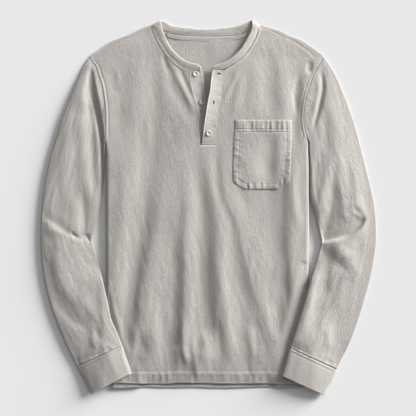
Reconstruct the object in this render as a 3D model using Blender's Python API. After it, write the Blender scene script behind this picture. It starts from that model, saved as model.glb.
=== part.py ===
"""A long-sleeved henley shirt in garment-dyed cotton jersey, laid out on its back on a flat surface.

Lengths are in millimetres and turned into metres where a mesh is made. X runs across the shirt, towards
the wearer's left sleeve, Y up towards the neck and Z out of the front. The origin lies on the surface,
under the middle of the whole outline. Each piece of cloth is a wall of even thickness about a middle
surface, whose heights come from a level, a fall to the shoulder seams and a table of folds.
"""

import bpy
import numpy as np

MM = 0.001

# Cloth and sewing
JERSEY = 1.2  # one layer of jersey
DOUBLED = 2.0  # band, cuffs, plackets and hem: jersey folded on itself
TAPE = 1.0
SEAM = 0.3  # the gap that sewn pieces keep

# Heights of the middle of the wall over the surface
ON_SURFACE = JERSEY / 2
FRONT_LEVEL = 9.5
SIDE_LEVEL = 11.0  # four layers lie under the front along its sides
FRONT_LOWEST = 3.2
SIDE_LOWEST = 6.3
BACK_UPPER = 4.4  # the back over its own tucked edge
BACK_TUCKED = ON_SURFACE + JERSEY + SEAM + 0.2
SHOULDER_EDGE = ON_SURFACE + JERSEY + SEAM
SHOULDER_FALL = 14.0  # how far inside the shoulder seam the front reaches its level
SHOULDER_LEAN_RIGHT, SHOULDER_LEAN_LEFT = 0.42, 0.46  # distance square to the seam for each mm across
LEAST_UNDER_PLACKET = 3.0

# The sides: the tube is 1040 mm round and shows 404 mm, so each side is tucked under
TUCK = 58.0
ROLL, ROLL_RATE = 7.0, 2
ROLL_TURNS = (90, 54, 18, -18, -54, -90)  # degrees, from the top of the roll to its foot
LEAST_TUCK = 4.0
HAIRPIN_INSET = 10.0  # the back's fold, inside the edge
HAIRPIN_DEPTH = 1.0
RAMP = 14.0
SIDE_EASE = 24.0  # the front rises to the side's level over that much
SIDE_RISE_Y, SIDE_RISEN_Y = 150.0, 90.0
ARMHOLE_END_Y = 140.0
UNDERARM_Y = 70.0
TUCK_STARTS = 0.3  # how far from the armhole's foot to the underarm the back's tuck begins
BACK_RISE_RATE, HAIRPIN_RATE = 3, 4  # how much sooner than the underarm they are complete
CREST_STEP = 1.5
BACK_FLAT, BACK_RISEN = 0.45, 0.65  # above the armhole's foot: shares of the way from the neck to the edge

HEM_SEAM_Y = -332.0
FRONT_HEM_Y = -352.0
BACK_HEM_Y = -361.0
BACK_HEM_SEAM_Y = -341.0
SLIT_END_Y = 124.0
BACK_NECK_FOOT_Y, BACK_NECK_DIP = 344, 2.0

# Between the ends of two middle surfaces that are sewn together, where the walls also lean
PLACKET_GAP = SEAM + 0.25
ARMHOLE_GAP = CUFF_GAP = SEAM + 0.3
BAND_GAP = SEAM + 0.4

# Outlines, from the top down: y, then x
SHOULDER_RIGHT = ((370, -110), (364, -117), (356, -137), (346, -157), (338, -177), (330, -197),
                  (316, -217), (300, -236))
SHOULDER_LEFT = ((370, 97), (366, 101), (358, 123), (352, 143), (342, 163), (334, 183), (322, 203),
                 (312, 217), (300, 229))
ARMHOLE_RIGHT = ((282, -225), (264, -219), (246, -213), (224, -209), (200, -206), (160, -205), (14, -205),
                 (-186, -204), (-361, -203))
ARMHOLE_LEFT = ((282, 219), (262, 209), (242, 201), (222, 195), (202, 191), (178, 189), (158, 191),
                (140, 195), (124, 199), (74, 201), (-46, 201), (-186, 199), (-361, 199))
NECKLINE_RIGHT = ((366, -110.5), (350, -105), (332, -97), (314, -87), (300, -77), (290, -67), (282, -57),
                  (276, -47), (272, -40), (250, -37), (230, -33), (208, -27), (184, -21), (164, -18),
                  (138, -17), (124, -17), (-361, -17))
NECKLINE_LEFT = ((366, 101), (348, 99), (334, 93), (320, 85), (306, 75), (294, 63), (286, 51), (278, 39),
                 (272, 31), (234, 27), (204, 23), (178, 19), (154, 15), (124, 13), (-361, 13))
BACK_NECK_RIGHT = ((366, -111), (360, -105.5), (354, -93), (348, -78), (344, -57), (-361, -57))
BACK_NECK_LEFT = ((366, 101), (360, 97), (354, 85), (348, 70), (344, 52), (-361, 52))
POCKET_INNER = ((174, 53), (134, 51), (94, 49), (54, 49))
POCKET_OUTER = ((174, 166), (134, 165), (94, 164), (54, 162))

# Rows of the two panels
NECK_ROWS = (364, 358, 350, 337, 324, 311, 300, 291, 283, 276)
CHEST_ROWS = (272, 256, 240, 222, 204, 189, 174, 157, 140, 124, 106, 88, 70, 54, 36)
BODY_ROWS = (12, -14, -42, -70, -98, -126, -154, -182, -210, -236, -262, -288, -311, HEM_SEAM_Y + 1,
             HEM_SEAM_Y - 1, FRONT_HEM_Y)
BACK_ROWS = (364, 359, 354, 348, BACK_NECK_FOOT_Y, 330, 315, 300, 291, 283, 272, 256, 240, 222, 204, 189,
             174, 157, 140, 124, 106, 88, 70, 20, -50, -120, -190, -260, -320, BACK_HEM_SEAM_Y + 1,
             BACK_HEM_SEAM_Y - 1, BACK_HEM_Y)
RIGHT_COLUMNS = 13
LEFT_COLUMNS = (3, 8, 3)  # to the pocket, across it, past it
SLIT_COLUMNS = 2
SIDE_COLUMNS = 7
BACK_COLUMNS = 3
BACK_FLAT_POINTS = 3  # of each half, before the ramp
BACK_TURNED = 4  # columns of each half from the fold to the side seam

# Folds: where the crest or trough starts, passes and ends (x, y), its half width and its height
BODY_FOLDS = (
    (-81, 300, -59, 255, -37, 208, 11, 3.0),
    (-73, 262, -53, 219, -31, 176, 11, -3.0),
    (-55, 262, -38, 225, -25, 186, 11, -2.5),
    (55, 242, 37, 211, 21, 178, 11, -3.0),
    (149, 290, 151, 238, 149, 186, 14, 2.0),
    (123, 162, 124, 112, 117, 62, 11, -3.0),
    (179, 266, 175, 194, 169, 122, 11, -4.5),
    (-123, 86, -147, -96, -171, -278, 18, -4.0),
    (-89, 70, -119, -109, -109, -290, 19, 2.5),
    (-75, -30, -77, -166, -85, -302, 14, -3.0),
    (-39, 34, -44, -138, -47, -310, 13, 4.0),
    (-15, 98, -11, -66, -3, -230, 14, -5.0),
    (13, 22, 20, -137, 45, -294, 14, 4.0),
    (49, -74, 67, -187, 65, -302, 13, -3.0),
    (73, -130, 108, -199, 129, -274, 13, 3.5),
    (141, -170, 147, -226, 145, -282, 14, -5.0),
    (165, 78, 176, -40, 167, -158, 16, 3.5),
    (-15, -258, -7, -292, -19, -326, 11, 3.0),
)

# Sleeves, from the shoulder seam to the cuff: outer edge x, y and inner edge x, y
SLEEVE_RIGHT = (
    (-236, 300, -206, 139), (-246, 287, -208, 118), (-257, 263, -208.5, 96), (-269, 234, -209, 74),
    (-281, 204, -210, 54), (-293, 174, -212, 34), (-304, 138, -214.5, 14), (-314, 104, -218, -8),
    (-322, 70, -223, -28), (-327, 42, -228, -46), (-329.5, 24, -231.5, -57), (-331, 10, -234, -66),
    (-332.5, -5, -233, -72), (-334, -26, -231, -80), (-335, -58, -227, -92), (-333.5, -94, -221, -112),
    (-329, -134, -213, -140), (-319, -180, -203, -182), (-306, -220, -195, -222), (-288, -264, -184, -248),
    (-262, -318, -173, -276),
)
SLEEVE_LEFT = (
    (229, 300, 195.5, 140), (241, 284, 202.5, 124), (253, 264, 202.3, 90), (265, 238, 202.6, 68),
    (277, 208, 202.6, 46), (288, 176, 202.8, 26), (298, 142, 205, 10), (308, 104, 210, -8),
    (317, 68, 215, -26), (324, 38, 219, -42), (328, 20, 222, -54), (331, 6, 225, -68),
    (333, -10, 224, -76), (334.5, -32, 222, -84), (335, -62, 218, -98), (331, -100, 211, -120),
    (324, -138, 202, -150), (313, -178, 191, -190), (300, -222, 180, -226), (283, -268, 170.5, -256),
    (255, -324, 163, -280),
)
SLEEVE_FOLDS_RIGHT = (
    (-233, 292, -243, 160, -228, -20, 15, 3.5),
    (-248, 276, -256, 170, -243, -56, 13, -4.5),
    (-286, 190, -303, 110, -322, 10, 12, -3.0),
    (-226, 150, -221, 104, -220, 70, 9, -2.5),
    (-331, -2, -287, -46, -232, -60, 10, -7.0),
    (-331, -16, -287, -59, -232, -72, 9, 4.0),
    (-322, -66, -300, -140, -240, -226, 13, -4.0),
)
SLEEVE_FOLDS_LEFT = (
    (228, 284, 231, 230, 222, 150, 14, -5.0),
    (217, 280, 218, 220, 206, 150, 8, 2.5),
    (245, 190, 245, 150, 235, 84, 12, -3.0),
    (257, 90, 257, 30, 267, -44, 14, -4.5),
    (264, 220, 286, 110, 312, 0, 18, 3.0),
    (312, -2, 277, -50, 226, -58, 12, -7.0),
    (320, -16, 281, -63, 226, -72, 9, 4.0),
    (232, -80, 252, -110, 262, -150, 13, -3.5),
)
SLEEVE_HEIGHT = 13.0
SLEEVE_EDGE_HEIGHT = 4.0
SLEEVE_LEAST_HEIGHT = 2.4
CROWN_POWER = 3  # how flat a sleeve's crown is
BLEND_RINGS = 3
SLEEVE_INSET, SLEEVE_TIP = 0.04, 0.006  # outermost points of the walls and the edge, shares of the width
ARMPIT_DROP, ARMPIT_OUT = 6.0, SEAM + 1.2
SHOULDER_TIP = (3.0, 2.0)
FOLD_FADE = 0.22  # the share of a fold's length over which each end fades

# Where the forearms lie on the body: y, then the distance of their inner edge from the middle
FOREARM_EDGE_RIGHT = ((-150, 214), (-220, 196), (-276, 173), (-332, 153), (-361, 141))
FOREARM_EDGE_LEFT = ((-130, 210), (-186, 192), (-226, 180), (-280, 163), (-310, 156), (-361, 138))
PRESSED_LEVEL = 6.4
OVER_BODY = PRESSED_LEVEL + JERSEY + SEAM + 0.6
CLIMB_START = 36.0
CLIMB_END = 11.0
PRESS_START, PRESS_EASE = 20.0, 12.0
FOREARM_TOP_Y, FOREARM_EASE = -110.0, 40.0

# Cuffs: the ends of their seams and of their open ends, outer x, y and inner x, y
CUFF_RIGHT = ((-262, -318, -173, -276), (-255, -331, -169, -289), (-247, -346, -164, -304),
              (-240, -359, -158, -320), (-233.5, -371.5, -155, -331))
CUFF_LEFT = ((255, -324, 163, -280), (250.5, -335, 159.5, -292), (245, -346.5, 156, -307),
             (237, -360, 151, -323), (229.5, -374, 147, -336))
CUFF_HEIGHT = 7.5
CUFF_COLUMNS = 8
CUFF_INSET, CUFF_TIP = 0.03, 0.011

# Neckband, from one end of the opening to the other: its sewn edge x, y, its free edge x, y and its layer
NECKBAND = (
    (-15, 273, -16, 283, "front"), (-27, 273, -25, 286, "front"), (-38, 274, -34, 288, "front"),
    (-48, 277.5, -43, 291, "front"), (-58, 284, -51, 296, "front"), (-68, 292, -60, 303, "front"),
    (-78, 302, -68, 311, "front"), (-88, 316, -76, 320, "front"), (-98, 334, -85, 338, "front"),
    (-105, 350, -91, 352, "front"), (-109, 361, -93.5, 364, "front"), (-111, 366.5, -95, 373.5, "fold"),
    (-105, 362.5, -86, 370, "back"), (-91, 355, -73, 363, "back"), (-77, 349, -57, 360, "back"),
    (-57, 345, -38, 358, "back"), (-28, 342.6, -14, 356, "back"), (0, 342, 4, 356, "back"),
    (27, 342.6, 22, 358, "back"), (52, 345, 45, 360, "back"), (69, 349, 62, 364, "back"),
    (83, 355, 76, 370, "back"), (95, 361, 82, 372.5, "back"), (101.5, 364.5, 86, 374, "fold"),
    (100, 357, 87.5, 365, "front"), (97, 346, 86, 355, "front"), (91, 332, 79, 340, "front"),
    (83, 319, 72, 327, "front"), (73, 305, 63, 314, "front"), (61, 293.5, 53, 304, "front"),
    (49, 286, 43, 296, "front"), (37, 278.5, 33, 290, "front"), (25, 274.5, 22, 286, "front"),
    (11, 273.5, 9, 282.5, "front"),
)
BAND_ON_SURFACE = DOUBLED / 2
BAND_AT_FOLD = 2.6
BAND_LIFT = 0.2  # on the front, over the panel's own level
BAND_LEAN = 1.0  # its free edge stands that much higher

# Plackets: y, then the x of the sewn edge and of the free edge
PLACKET_ROWS = (271.5, 256, 240, 222, 204, 189, 174, 157, 140, 125)
UNDER_FREE_EDGE = ((272, -13), (256, -9), (238, -7), (214, -5), (184, -1), (154, 3), (124, 7))
OVER_FREE_EDGE = ((272, 7), (254, 5), (234, 3), (214, -1), (190, -5), (164, -9), (138, -12), (124, -13))
PLACKET_COLUMNS = 3
PLACKET_STEP = 2.7  # how far one placket lies over or under the panel at its free edge

# Pocket
POCKET_TOP, POCKET_CORNER, POCKET_FOOT = 174, 54, 36

# Neck tape, over the back neck seam
TAPE_WIDTH = 8.0
TAPE_STATIONS = 15
TAPE_RIGHT_X, TAPE_LEFT_X, TAPE_UNDER_SEAM = -84.0, 77.0, 2.6

# Buttons: x, y and their placket
BUTTON_WIDTH = 12.0
BUTTON_THICKNESS = 2.6
BUTTON_RIM = 1.4
BUTTON_DISH = 0.7
BUTTON_EDGE = 0.5  # its rounding
BUTTON_SEAT = 0.3  # over the seam's gap, for the slope of the placket
BUTTON_SIDES = 24
BUTTONS = (("button_top", -25, 265.5, "under"), ("button_middle", -13, 210, "under"),
           ("button_bottom", 0.6, 147.5, "over"))

COLOURS = {  # red, green, blue and roughness
    "jersey": (0.46, 0.43, 0.40, 0.95),
    "doubled_jersey": (0.44, 0.41, 0.38, 0.95),
    "button_shell": (0.50, 0.46, 0.41, 0.35),
}


# ---- tools ----


def along(table, y, column=1):
    """The value of a table's column at y, with straight lines between rows that run from the top down."""
    rows = np.array(table, float)[::-1]
    return np.interp(y, rows[:, 0], rows[:, column])


def ease(t):
    """0 below 0, 1 above 1, with a smooth rise between."""
    t = np.clip(t, 0.0, 1.0)
    return t * t * (3 - 2 * t)


def folded(x, y, folds):
    """The sum of the folds at x, y: each is a rounded ridge along a parabola through its three points."""
    total = np.zeros(np.broadcast(x, y).shape)
    for x0, y0, x1, y1, x2, y2, half_width, height in folds:
        (a, b), (s, t) = ((x0, x1, x2), (y0, y1, y2)), (x, y)
        if abs(x2 - x0) > abs(y2 - y0):
            a, b, s, t = b, a, y, x
        crest = np.polyval(np.polyfit(b, a, 2), t)
        lean = np.polyval(np.polyder(np.polyfit(b, a, 2)), t)
        share = (t - b[0]) / (b[2] - b[0])
        off = (s - crest) / np.sqrt(1 + lean**2) / half_width
        ends = ease(share / FOLD_FADE) * ease((1 - share) / FOLD_FADE)
        total += height * ends * np.where(np.abs(off) < 1, np.cos(off * np.pi / 2) ** 2, 0.0)
    return total


def wall(points, faces, thickness, normals=None):
    """A closed wall about a middle surface: its points moved half the thickness each way, and its rim."""
    if normals is None:
        normals = normals_of(points, faces)
    half = np.broadcast_to(np.asarray(thickness, float) / 2, len(points))[:, None]
    count = len(points)
    ends = np.concatenate([faces[:, [0, 1]], faces[:, [1, 2]], faces[:, [2, 0]]])
    known = {tuple(edge) for edge in ends.tolist()}
    rim = np.array([edge for edge in ends.tolist() if (edge[1], edge[0]) not in known])
    a, b = rim[:, 0], rim[:, 1]
    sides = np.concatenate([np.stack([b, a, a + count], 1), np.stack([b, a + count, b + count], 1)])
    corners = np.concatenate([points + normals * half, points - normals * half])
    return corners, np.concatenate([faces, faces[:, ::-1] + count, sides])


def normals_of(points, faces):
    """Each point's normal, the mean of its faces' by area."""
    corner = points[faces]
    across = np.cross(corner[:, 1] - corner[:, 0], corner[:, 2] - corner[:, 0])
    normals = np.zeros_like(points)
    for k in range(3):
        np.add.at(normals, faces[:, k], across)
    return normals / np.linalg.norm(normals, axis=1, keepdims=True)


def triangles(index):
    """Two triangles for each cell of a grid of point numbers, but none with a -1 and none collapsed."""
    a, b, c, d = index[:-1, :-1], index[1:, :-1], index[1:, 1:], index[:-1, 1:]
    cells = np.stack([a, b, c, d], -1).reshape(-1, 4)
    cells = cells[(cells >= 0).all(axis=1)]
    pairs = np.concatenate([cells[:, [0, 1, 2]], cells[:, [0, 2, 3]]])
    whole = (pairs[:, 0] != pairs[:, 1]) & (pairs[:, 1] != pairs[:, 2]) & (pairs[:, 0] != pairs[:, 2])
    return pairs[whole]


def grid_index(rows, columns):
    return np.arange(rows * columns).reshape(rows, columns)


def wall_of(points, faces, thickness, normals=None):
    """The wall about those points that the faces use."""
    used, faces = np.unique(faces, return_inverse=True)
    thickness = np.broadcast_to(thickness, len(points))[used]
    return wall(points[used], faces.reshape(-1, 3), thickness, None if normals is None else normals[used])


def without(faces, removed):
    """The faces that aren't among those to be removed."""
    gone = {tuple(sorted(face)) for face in removed.tolist()}
    return np.array([face for face in faces.tolist() if tuple(sorted(face)) not in gone])


materials = {}


def material(name):
    if name not in materials:
        red, green, blue, roughness = COLOURS[name]
        made = bpy.data.materials.new(name)
        made.use_nodes = True
        shader = made.node_tree.nodes["Principled BSDF"]
        shader.inputs["Base Color"].default_value = (red, green, blue, 1)
        shader.inputs["Roughness"].default_value = roughness
        shader.inputs["Metallic"].default_value = 0.0
        made.diffuse_color = (red, green, blue, 1)
        materials[name] = made
    return materials[name]


def add_piece(name, corners, faces, finish):
    """A mesh object from points in millimetres, turned right side out."""
    corner = corners[faces]
    volume = np.einsum("ij,ij->i", corner[:, 0], np.cross(corner[:, 1], corner[:, 2])).sum()
    faces = faces if volume > 0 else faces[:, ::-1]
    mesh = bpy.data.meshes.new(name)
    mesh.from_pydata((corners * MM).tolist(), [], faces.tolist())
    mesh.materials.append(material(finish))
    mesh.update()
    piece = bpy.data.objects.new(name, mesh)
    bpy.context.collection.objects.link(piece)
    return piece


# ---- the lie of the front ----


def outer_edge(y, side):
    """The x of the panels' shoulder, armhole and side on one side, -1 for the wearer's right."""
    return along(SHOULDER_RIGHT + ARMHOLE_RIGHT if side < 0 else SHOULDER_LEFT + ARMHOLE_LEFT, y)


def shoulder_distance(x, y):
    """How far a point lies inside the nearer shoulder seam, about square to it."""
    right = (x - along(SHOULDER_RIGHT, y)) * SHOULDER_LEAN_RIGHT
    left = (along(SHOULDER_LEFT, y) - x) * SHOULDER_LEAN_LEFT
    below = np.maximum(SHOULDER_RIGHT[-1][0] - np.asarray(y, float), 0.0)
    return np.minimum(np.maximum(right, 0), np.maximum(left, 0)) + below


def pressed(x, y):
    """1 where a forearm lies on the body, easing to 0 around it."""
    right = ease((-x - along(FOREARM_EDGE_RIGHT, y) + PRESS_START) / PRESS_EASE)
    left = ease((x - along(FOREARM_EDGE_LEFT, y) + PRESS_START) / PRESS_EASE)
    return np.where(y < FOREARM_TOP_Y, np.where(x < 0, right, left), 0.0)


def front_height(x, y):
    """The height of the middle of the front's wall: its level, its folds and its fall to the shoulders."""
    x, y = np.broadcast_arrays(np.asarray(x, float), np.asarray(y, float))
    inside = np.minimum(outer_edge(y, 1) - x, x - outer_edge(y, -1))
    side = ease((TUCK + SIDE_EASE - inside) / SIDE_EASE)
    side = side * ease((SIDE_RISE_Y - y) / (SIDE_RISE_Y - SIDE_RISEN_Y))
    level = FRONT_LEVEL + (SIDE_LEVEL - FRONT_LEVEL) * side
    lowest = FRONT_LOWEST + (SIDE_LOWEST - FRONT_LOWEST) * side
    height = np.maximum(level + folded(x, y, BODY_FOLDS), lowest)
    height += (np.maximum(PRESSED_LEVEL, lowest) - height) * pressed(x, y)
    return SHOULDER_EDGE + (height - SHOULDER_EDGE) * ease(shoulder_distance(x, y) / SHOULDER_FALL)


def rise_at_side(y):
    """0 at the foot of the armhole and above, 1 at the underarm and below."""
    return np.clip((ARMHOLE_END_Y - y) / (ARMHOLE_END_Y - UNDERARM_Y), 0.0, 1.0)


def front_side(y, side):
    """The front's way round its side at one row: over the edge, under it and in to the side seam."""
    share = rise_at_side(y)
    edge = outer_edge(y, side)
    rolled = min(1.0, share * ROLL_RATE)
    roll = ROLL * rolled
    top_x = edge - side * (roll + JERSEY / 2 * rolled)
    top = float(front_height(top_x, y))
    turns = np.radians(ROLL_TURNS)
    middle, half = (top + ON_SURFACE) / 2, (top - ON_SURFACE) / 2
    path_x = np.append(top_x + side * roll * np.cos(turns), edge - side * TUCK)
    path_z = np.append(middle + half * np.sin(turns), ON_SURFACE)
    length = np.append(0, np.cumsum(np.hypot(np.diff(path_x), np.diff(path_z))))
    end = share * length[-1]
    if end > length[-2] + LEAST_TUCK:
        stations = np.append(length[:-1], ((length[-2] + end) / 2, end))
    else:
        stations = np.linspace(0, end, SIDE_COLUMNS + 1)
    return np.interp(stations, length, path_x), np.interp(stations, length, path_z)


def pocket_share(y):
    """How far across the left half of the front the pocket's two edges lie, as shares of its width."""
    at = np.clip(y, POCKET_CORNER, POCKET_TOP)
    inner = float(along(NECKLINE_LEFT, at))
    outer = front_side(at, 1)[0][0]
    return ((float(along(POCKET_INNER, at)) - inner) / (outer - inner),
            (float(along(POCKET_OUTER, at)) - inner) / (outer - inner))


def drop_turned(row, count, gone):
    """Takes the turned-under columns out of a row of point numbers, or draws them on to the edge."""
    row[:count] = -1 if gone else row[count]
    row[-count:] = -1 if gone else row[-count - 1]


def make_front():
    """The front's middle surface: rows from the neck to the hem, columns from side seam to side seam."""
    rows = NECK_ROWS + CHEST_ROWS + BODY_ROWS
    columns = 2 * SIDE_COLUMNS + RIGHT_COLUMNS + SLIT_COLUMNS + sum(LEFT_COLUMNS) + 1
    points = np.zeros((len(rows), columns, 3))
    index = grid_index(len(rows), columns)
    slit_first = SIDE_COLUMNS + RIGHT_COLUMNS
    for r, y in enumerate(rows):
        right_x, right_z = front_side(y, -1)
        left_x, left_z = front_side(y, 1)
        inner_right, inner_left = float(along(NECKLINE_RIGHT, y)), float(along(NECKLINE_LEFT, y))
        near, far = pocket_share(y)
        shares = np.concatenate([np.linspace(0, near, LEFT_COLUMNS[0] + 1)[:-1],
                                 np.linspace(near, far, LEFT_COLUMNS[1] + 1),
                                 np.linspace(far, 1, LEFT_COLUMNS[2] + 1)[1:]])
        across = np.concatenate([np.linspace(right_x[0], inner_right, RIGHT_COLUMNS + 1),
                                 np.linspace(inner_right, inner_left, SLIT_COLUMNS + 1)[1:-1],
                                 inner_left + (left_x[0] - inner_left) * shares])
        points[r, :, 0] = np.concatenate([right_x[:0:-1], across, left_x[1:]])
        points[r, :, 1] = y
        points[r, :, 2] = np.concatenate([right_z[:0:-1], front_height(across, y), left_z[1:]])
        if rise_at_side(y) == 0:
            drop_turned(index[r], SIDE_COLUMNS, y > ARMHOLE_END_Y)
    slit = index[: rows.index(SLIT_END_Y) + 1, slit_first : slit_first + SLIT_COLUMNS + 1]
    faces = without(triangles(index), triangles(slit))
    points = points.reshape(-1, 3)
    thickness = np.where((points[:, 1] < HEM_SEAM_Y) & (points[:, 2] > ON_SURFACE + 0.1), DOUBLED, JERSEY)
    used = np.unique(faces)
    normals = np.zeros_like(points)
    normals[used] = normals_of(points[used], np.searchsorted(used, faces))
    add_piece("front", *wall_of(points, faces, thickness, normals), "jersey")
    return rows, points, normals, index


def make_pocket(rows, points, normals, index):
    """The patch pocket: the front's own points between its edges, moved out by the seam gap."""
    first, last = rows.index(POCKET_TOP), rows.index(POCKET_FOOT)
    start = SIDE_COLUMNS + RIGHT_COLUMNS + SLIT_COLUMNS + LEFT_COLUMNS[0]
    patch = index[first : last + 1, start : start + LEFT_COLUMNS[1] + 1].copy()
    patch[-1, 0], patch[-1, -1] = patch[-1, 1], patch[-1, -2]
    lifted = points + normals * (JERSEY + SEAM)
    add_piece("pocket", *wall_of(lifted, triangles(patch), JERSEY, normals), "jersey")


def make_back():
    """The back: flat on the surface, its sides over their own tucked edges and folded under."""
    side_count = BACK_FLAT_POINTS + 1 + BACK_TURNED
    columns = 2 * side_count + BACK_COLUMNS + 1
    points = np.zeros((len(BACK_ROWS), columns, 3))
    index = grid_index(len(BACK_ROWS), columns)
    for r, y in enumerate(BACK_ROWS):
        share = rise_at_side(y)
        rise = ease(share * BACK_RISE_RATE)
        upper = ON_SURFACE + (BACK_UPPER - ON_SURFACE) * rise
        under = ON_SURFACE + (BACK_TUCKED - ON_SURFACE) * rise
        flat = DOUBLED / 2 if y < BACK_HEM_SEAM_Y else ON_SURFACE
        halves = []
        for side, neck in ((-1, BACK_NECK_RIGHT), (1, BACK_NECK_LEFT)):
            edge = outer_edge(y, side)
            inner = float(along(neck, y))
            hairpin = edge - side * HAIRPIN_INSET * min(1.0, share * HAIRPIN_RATE)
            least = HAIRPIN_INSET + LEAST_TUCK
            tuck = edge - side * (least + (TUCK - least) * ease((share - TUCK_STARTS) / (1 - TUCK_STARTS)))
            foot = edge - side * (TUCK + RAMP) if share > 0 else inner + (edge - inner) * BACK_FLAT
            crest = edge - side * (TUCK + CREST_STEP) if share > 0 else inner + (edge - inner) * BACK_RISEN
            turned = hairpin - side * HAIRPIN_DEPTH
            x = [inner, (inner + foot) / 2, foot, crest, turned if share > 0 else hairpin]
            z = [flat] * BACK_FLAT_POINTS + [upper] * 2
            x += [hairpin, turned, (hairpin + tuck) / 2, tuck]
            z += [(upper + under) / 2, under, under, under]
            halves.append((np.array(x), np.array(z)))
        (right_x, right_z), (left_x, left_z) = halves
        middle = np.linspace(right_x[0], left_x[0], BACK_COLUMNS + 1)[1:-1]
        points[r, :, 0] = np.concatenate([right_x[::-1], middle, left_x])
        points[r, :, 1] = y
        points[r, :, 2] = np.concatenate([right_z[::-1], np.full(len(middle), flat), left_z])
        if share < TUCK_STARTS:
            drop_turned(index[r], BACK_TURNED, share == 0 and y > ARMHOLE_END_Y)
    foot_row = BACK_ROWS.index(BACK_NECK_FOOT_Y)
    points[foot_row, side_count + 1 : side_count + BACK_COLUMNS, 1] -= BACK_NECK_DIP
    neck_hole = index[: foot_row + 1, side_count : side_count + BACK_COLUMNS + 1]
    faces = without(triangles(index), triangles(neck_hole))
    points = points.reshape(-1, 3)
    thickness = np.where((points[:, 1] < BACK_HEM_SEAM_Y) & (points[:, 2] == DOUBLED / 2), DOUBLED, JERSEY)
    add_piece("back", *wall_of(points, faces, thickness), "jersey")


def sleeve_base(x, y, side, layer):
    """The height of a sleeve's lower wall: on the surface, climbing on to the body under the forearm."""
    inside = side * (outer_edge(y, side) - x)
    climbed = ease((inside + CLIMB_START) / (CLIMB_START - CLIMB_END))
    over = climbed * ease((FOREARM_TOP_Y - y) / FOREARM_EASE)
    return layer / 2 + (OVER_BODY - JERSEY / 2) * over


def tube_ring(outer, inner, shares, side, layer, height, folds):
    """The points across a sleeve or cuff, and the heights of its lower and upper walls there."""
    line = inner + (outer - inner) * shares[:, None]
    x, y = line[:, 0], line[:, 1]
    base = sleeve_base(x, y, side, layer)
    swell = np.sqrt(1 - np.abs(2 * shares - 1) ** CROWN_POWER)
    top = base + SLEEVE_EDGE_HEIGHT + (height - SLEEVE_EDGE_HEIGHT) * swell + folded(x, y, folds) * swell
    return line, base, np.maximum(top, base + SLEEVE_LEAST_HEIGHT + layer - JERSEY)


def closed_ring(line, base, top, tips, tip_heights):
    """The lower wall from the inner edge out, the outer tip, the upper wall back and the inner tip."""
    inner_tip, outer_tip = np.column_stack([tips, tip_heights])
    upper = np.column_stack([line, top])[::-1]
    return np.concatenate([np.column_stack([line, base]), [outer_tip], upper, [inner_tip]])


def edge_tips(outer, inner, share):
    return np.array((inner + (outer - inner) * share, outer - (outer - inner) * share))


def tube(rings, thickness):
    """An open tube through rings of points."""
    index = grid_index(*rings.shape[:2])
    index = np.column_stack([index, index[:, 0]])
    points = rings.reshape(-1, 3)
    return wall(points, triangles(index), thickness)


def make_sleeve(name, table, side, folds):
    """The sleeve: rings between its edges; the first lies along the armhole, the last along the cuff."""
    top_y = SHOULDER_RIGHT[-1][0]
    seam_y = np.array([y for y in NECK_ROWS + CHEST_ROWS if ARMHOLE_END_Y <= y <= top_y][::-1], float)
    seam_x = outer_edge(seam_y, side)
    shares = np.linspace(SLEEVE_INSET, 1 - SLEEVE_INSET, len(seam_y))
    rows = np.array(table, float)
    first_line = rows[0, 2:] + (rows[0, :2] - rows[0, 2:]) * shares[:, None]
    to_seam = np.column_stack([seam_x + side * ARMHOLE_GAP, seam_y]) - first_line
    rings = []
    for k, row in enumerate(rows):
        outer, inner = row[:2], row[2:]
        line, base, top = tube_ring(outer, inner, shares, side, JERSEY, SLEEVE_HEIGHT, folds)
        keep = 1 - ease(k / BLEND_RINGS)
        line = line + to_seam * keep
        top = top + (front_height(seam_x, seam_y) - top) * keep
        base = base + (ON_SURFACE - base) * keep
        lowest, highest = base[[0, -1]], top[[0, -1]]
        tips = edge_tips(outer, inner, SLEEVE_TIP)
        if k == 0:
            foot_y = line[0, 1] - ARMPIT_DROP
            tips[0] = outer_edge(foot_y, side) + side * ARMPIT_OUT, foot_y
            tips[1] = line[-1] + (side * SHOULDER_TIP[0], SHOULDER_TIP[1])
        tip_heights = (lowest + np.minimum(highest, lowest + 2 * SLEEVE_EDGE_HEIGHT)) / 2
        rings.append(closed_ring(line, base, top, tips, tip_heights))
    add_piece(name, *tube(np.array(rings), JERSEY), "jersey")


def make_cuff(name, table, side):
    """The cuff: a doubled tube, laid flat, from the sleeve's end to its own folded edge."""
    shares = np.linspace(CUFF_INSET, 1 - CUFF_INSET, CUFF_COLUMNS)
    rows = np.array(table, float)
    away = rows[1] - rows[0]
    rows[0] += away / np.hypot(*away[:2]) * CUFF_GAP
    rings = []
    for row in rows:
        outer, inner = row[:2], row[2:]
        line, base, top = tube_ring(outer, inner, shares, side, DOUBLED, CUFF_HEIGHT, ())
        tip_heights = (base[[0, -1]] + top[[0, -1]]) / 2
        rings.append(closed_ring(line, base, top, edge_tips(outer, inner, CUFF_TIP), tip_heights))
    add_piece(name, *tube(np.array(rings), DOUBLED), "doubled_jersey")


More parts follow.
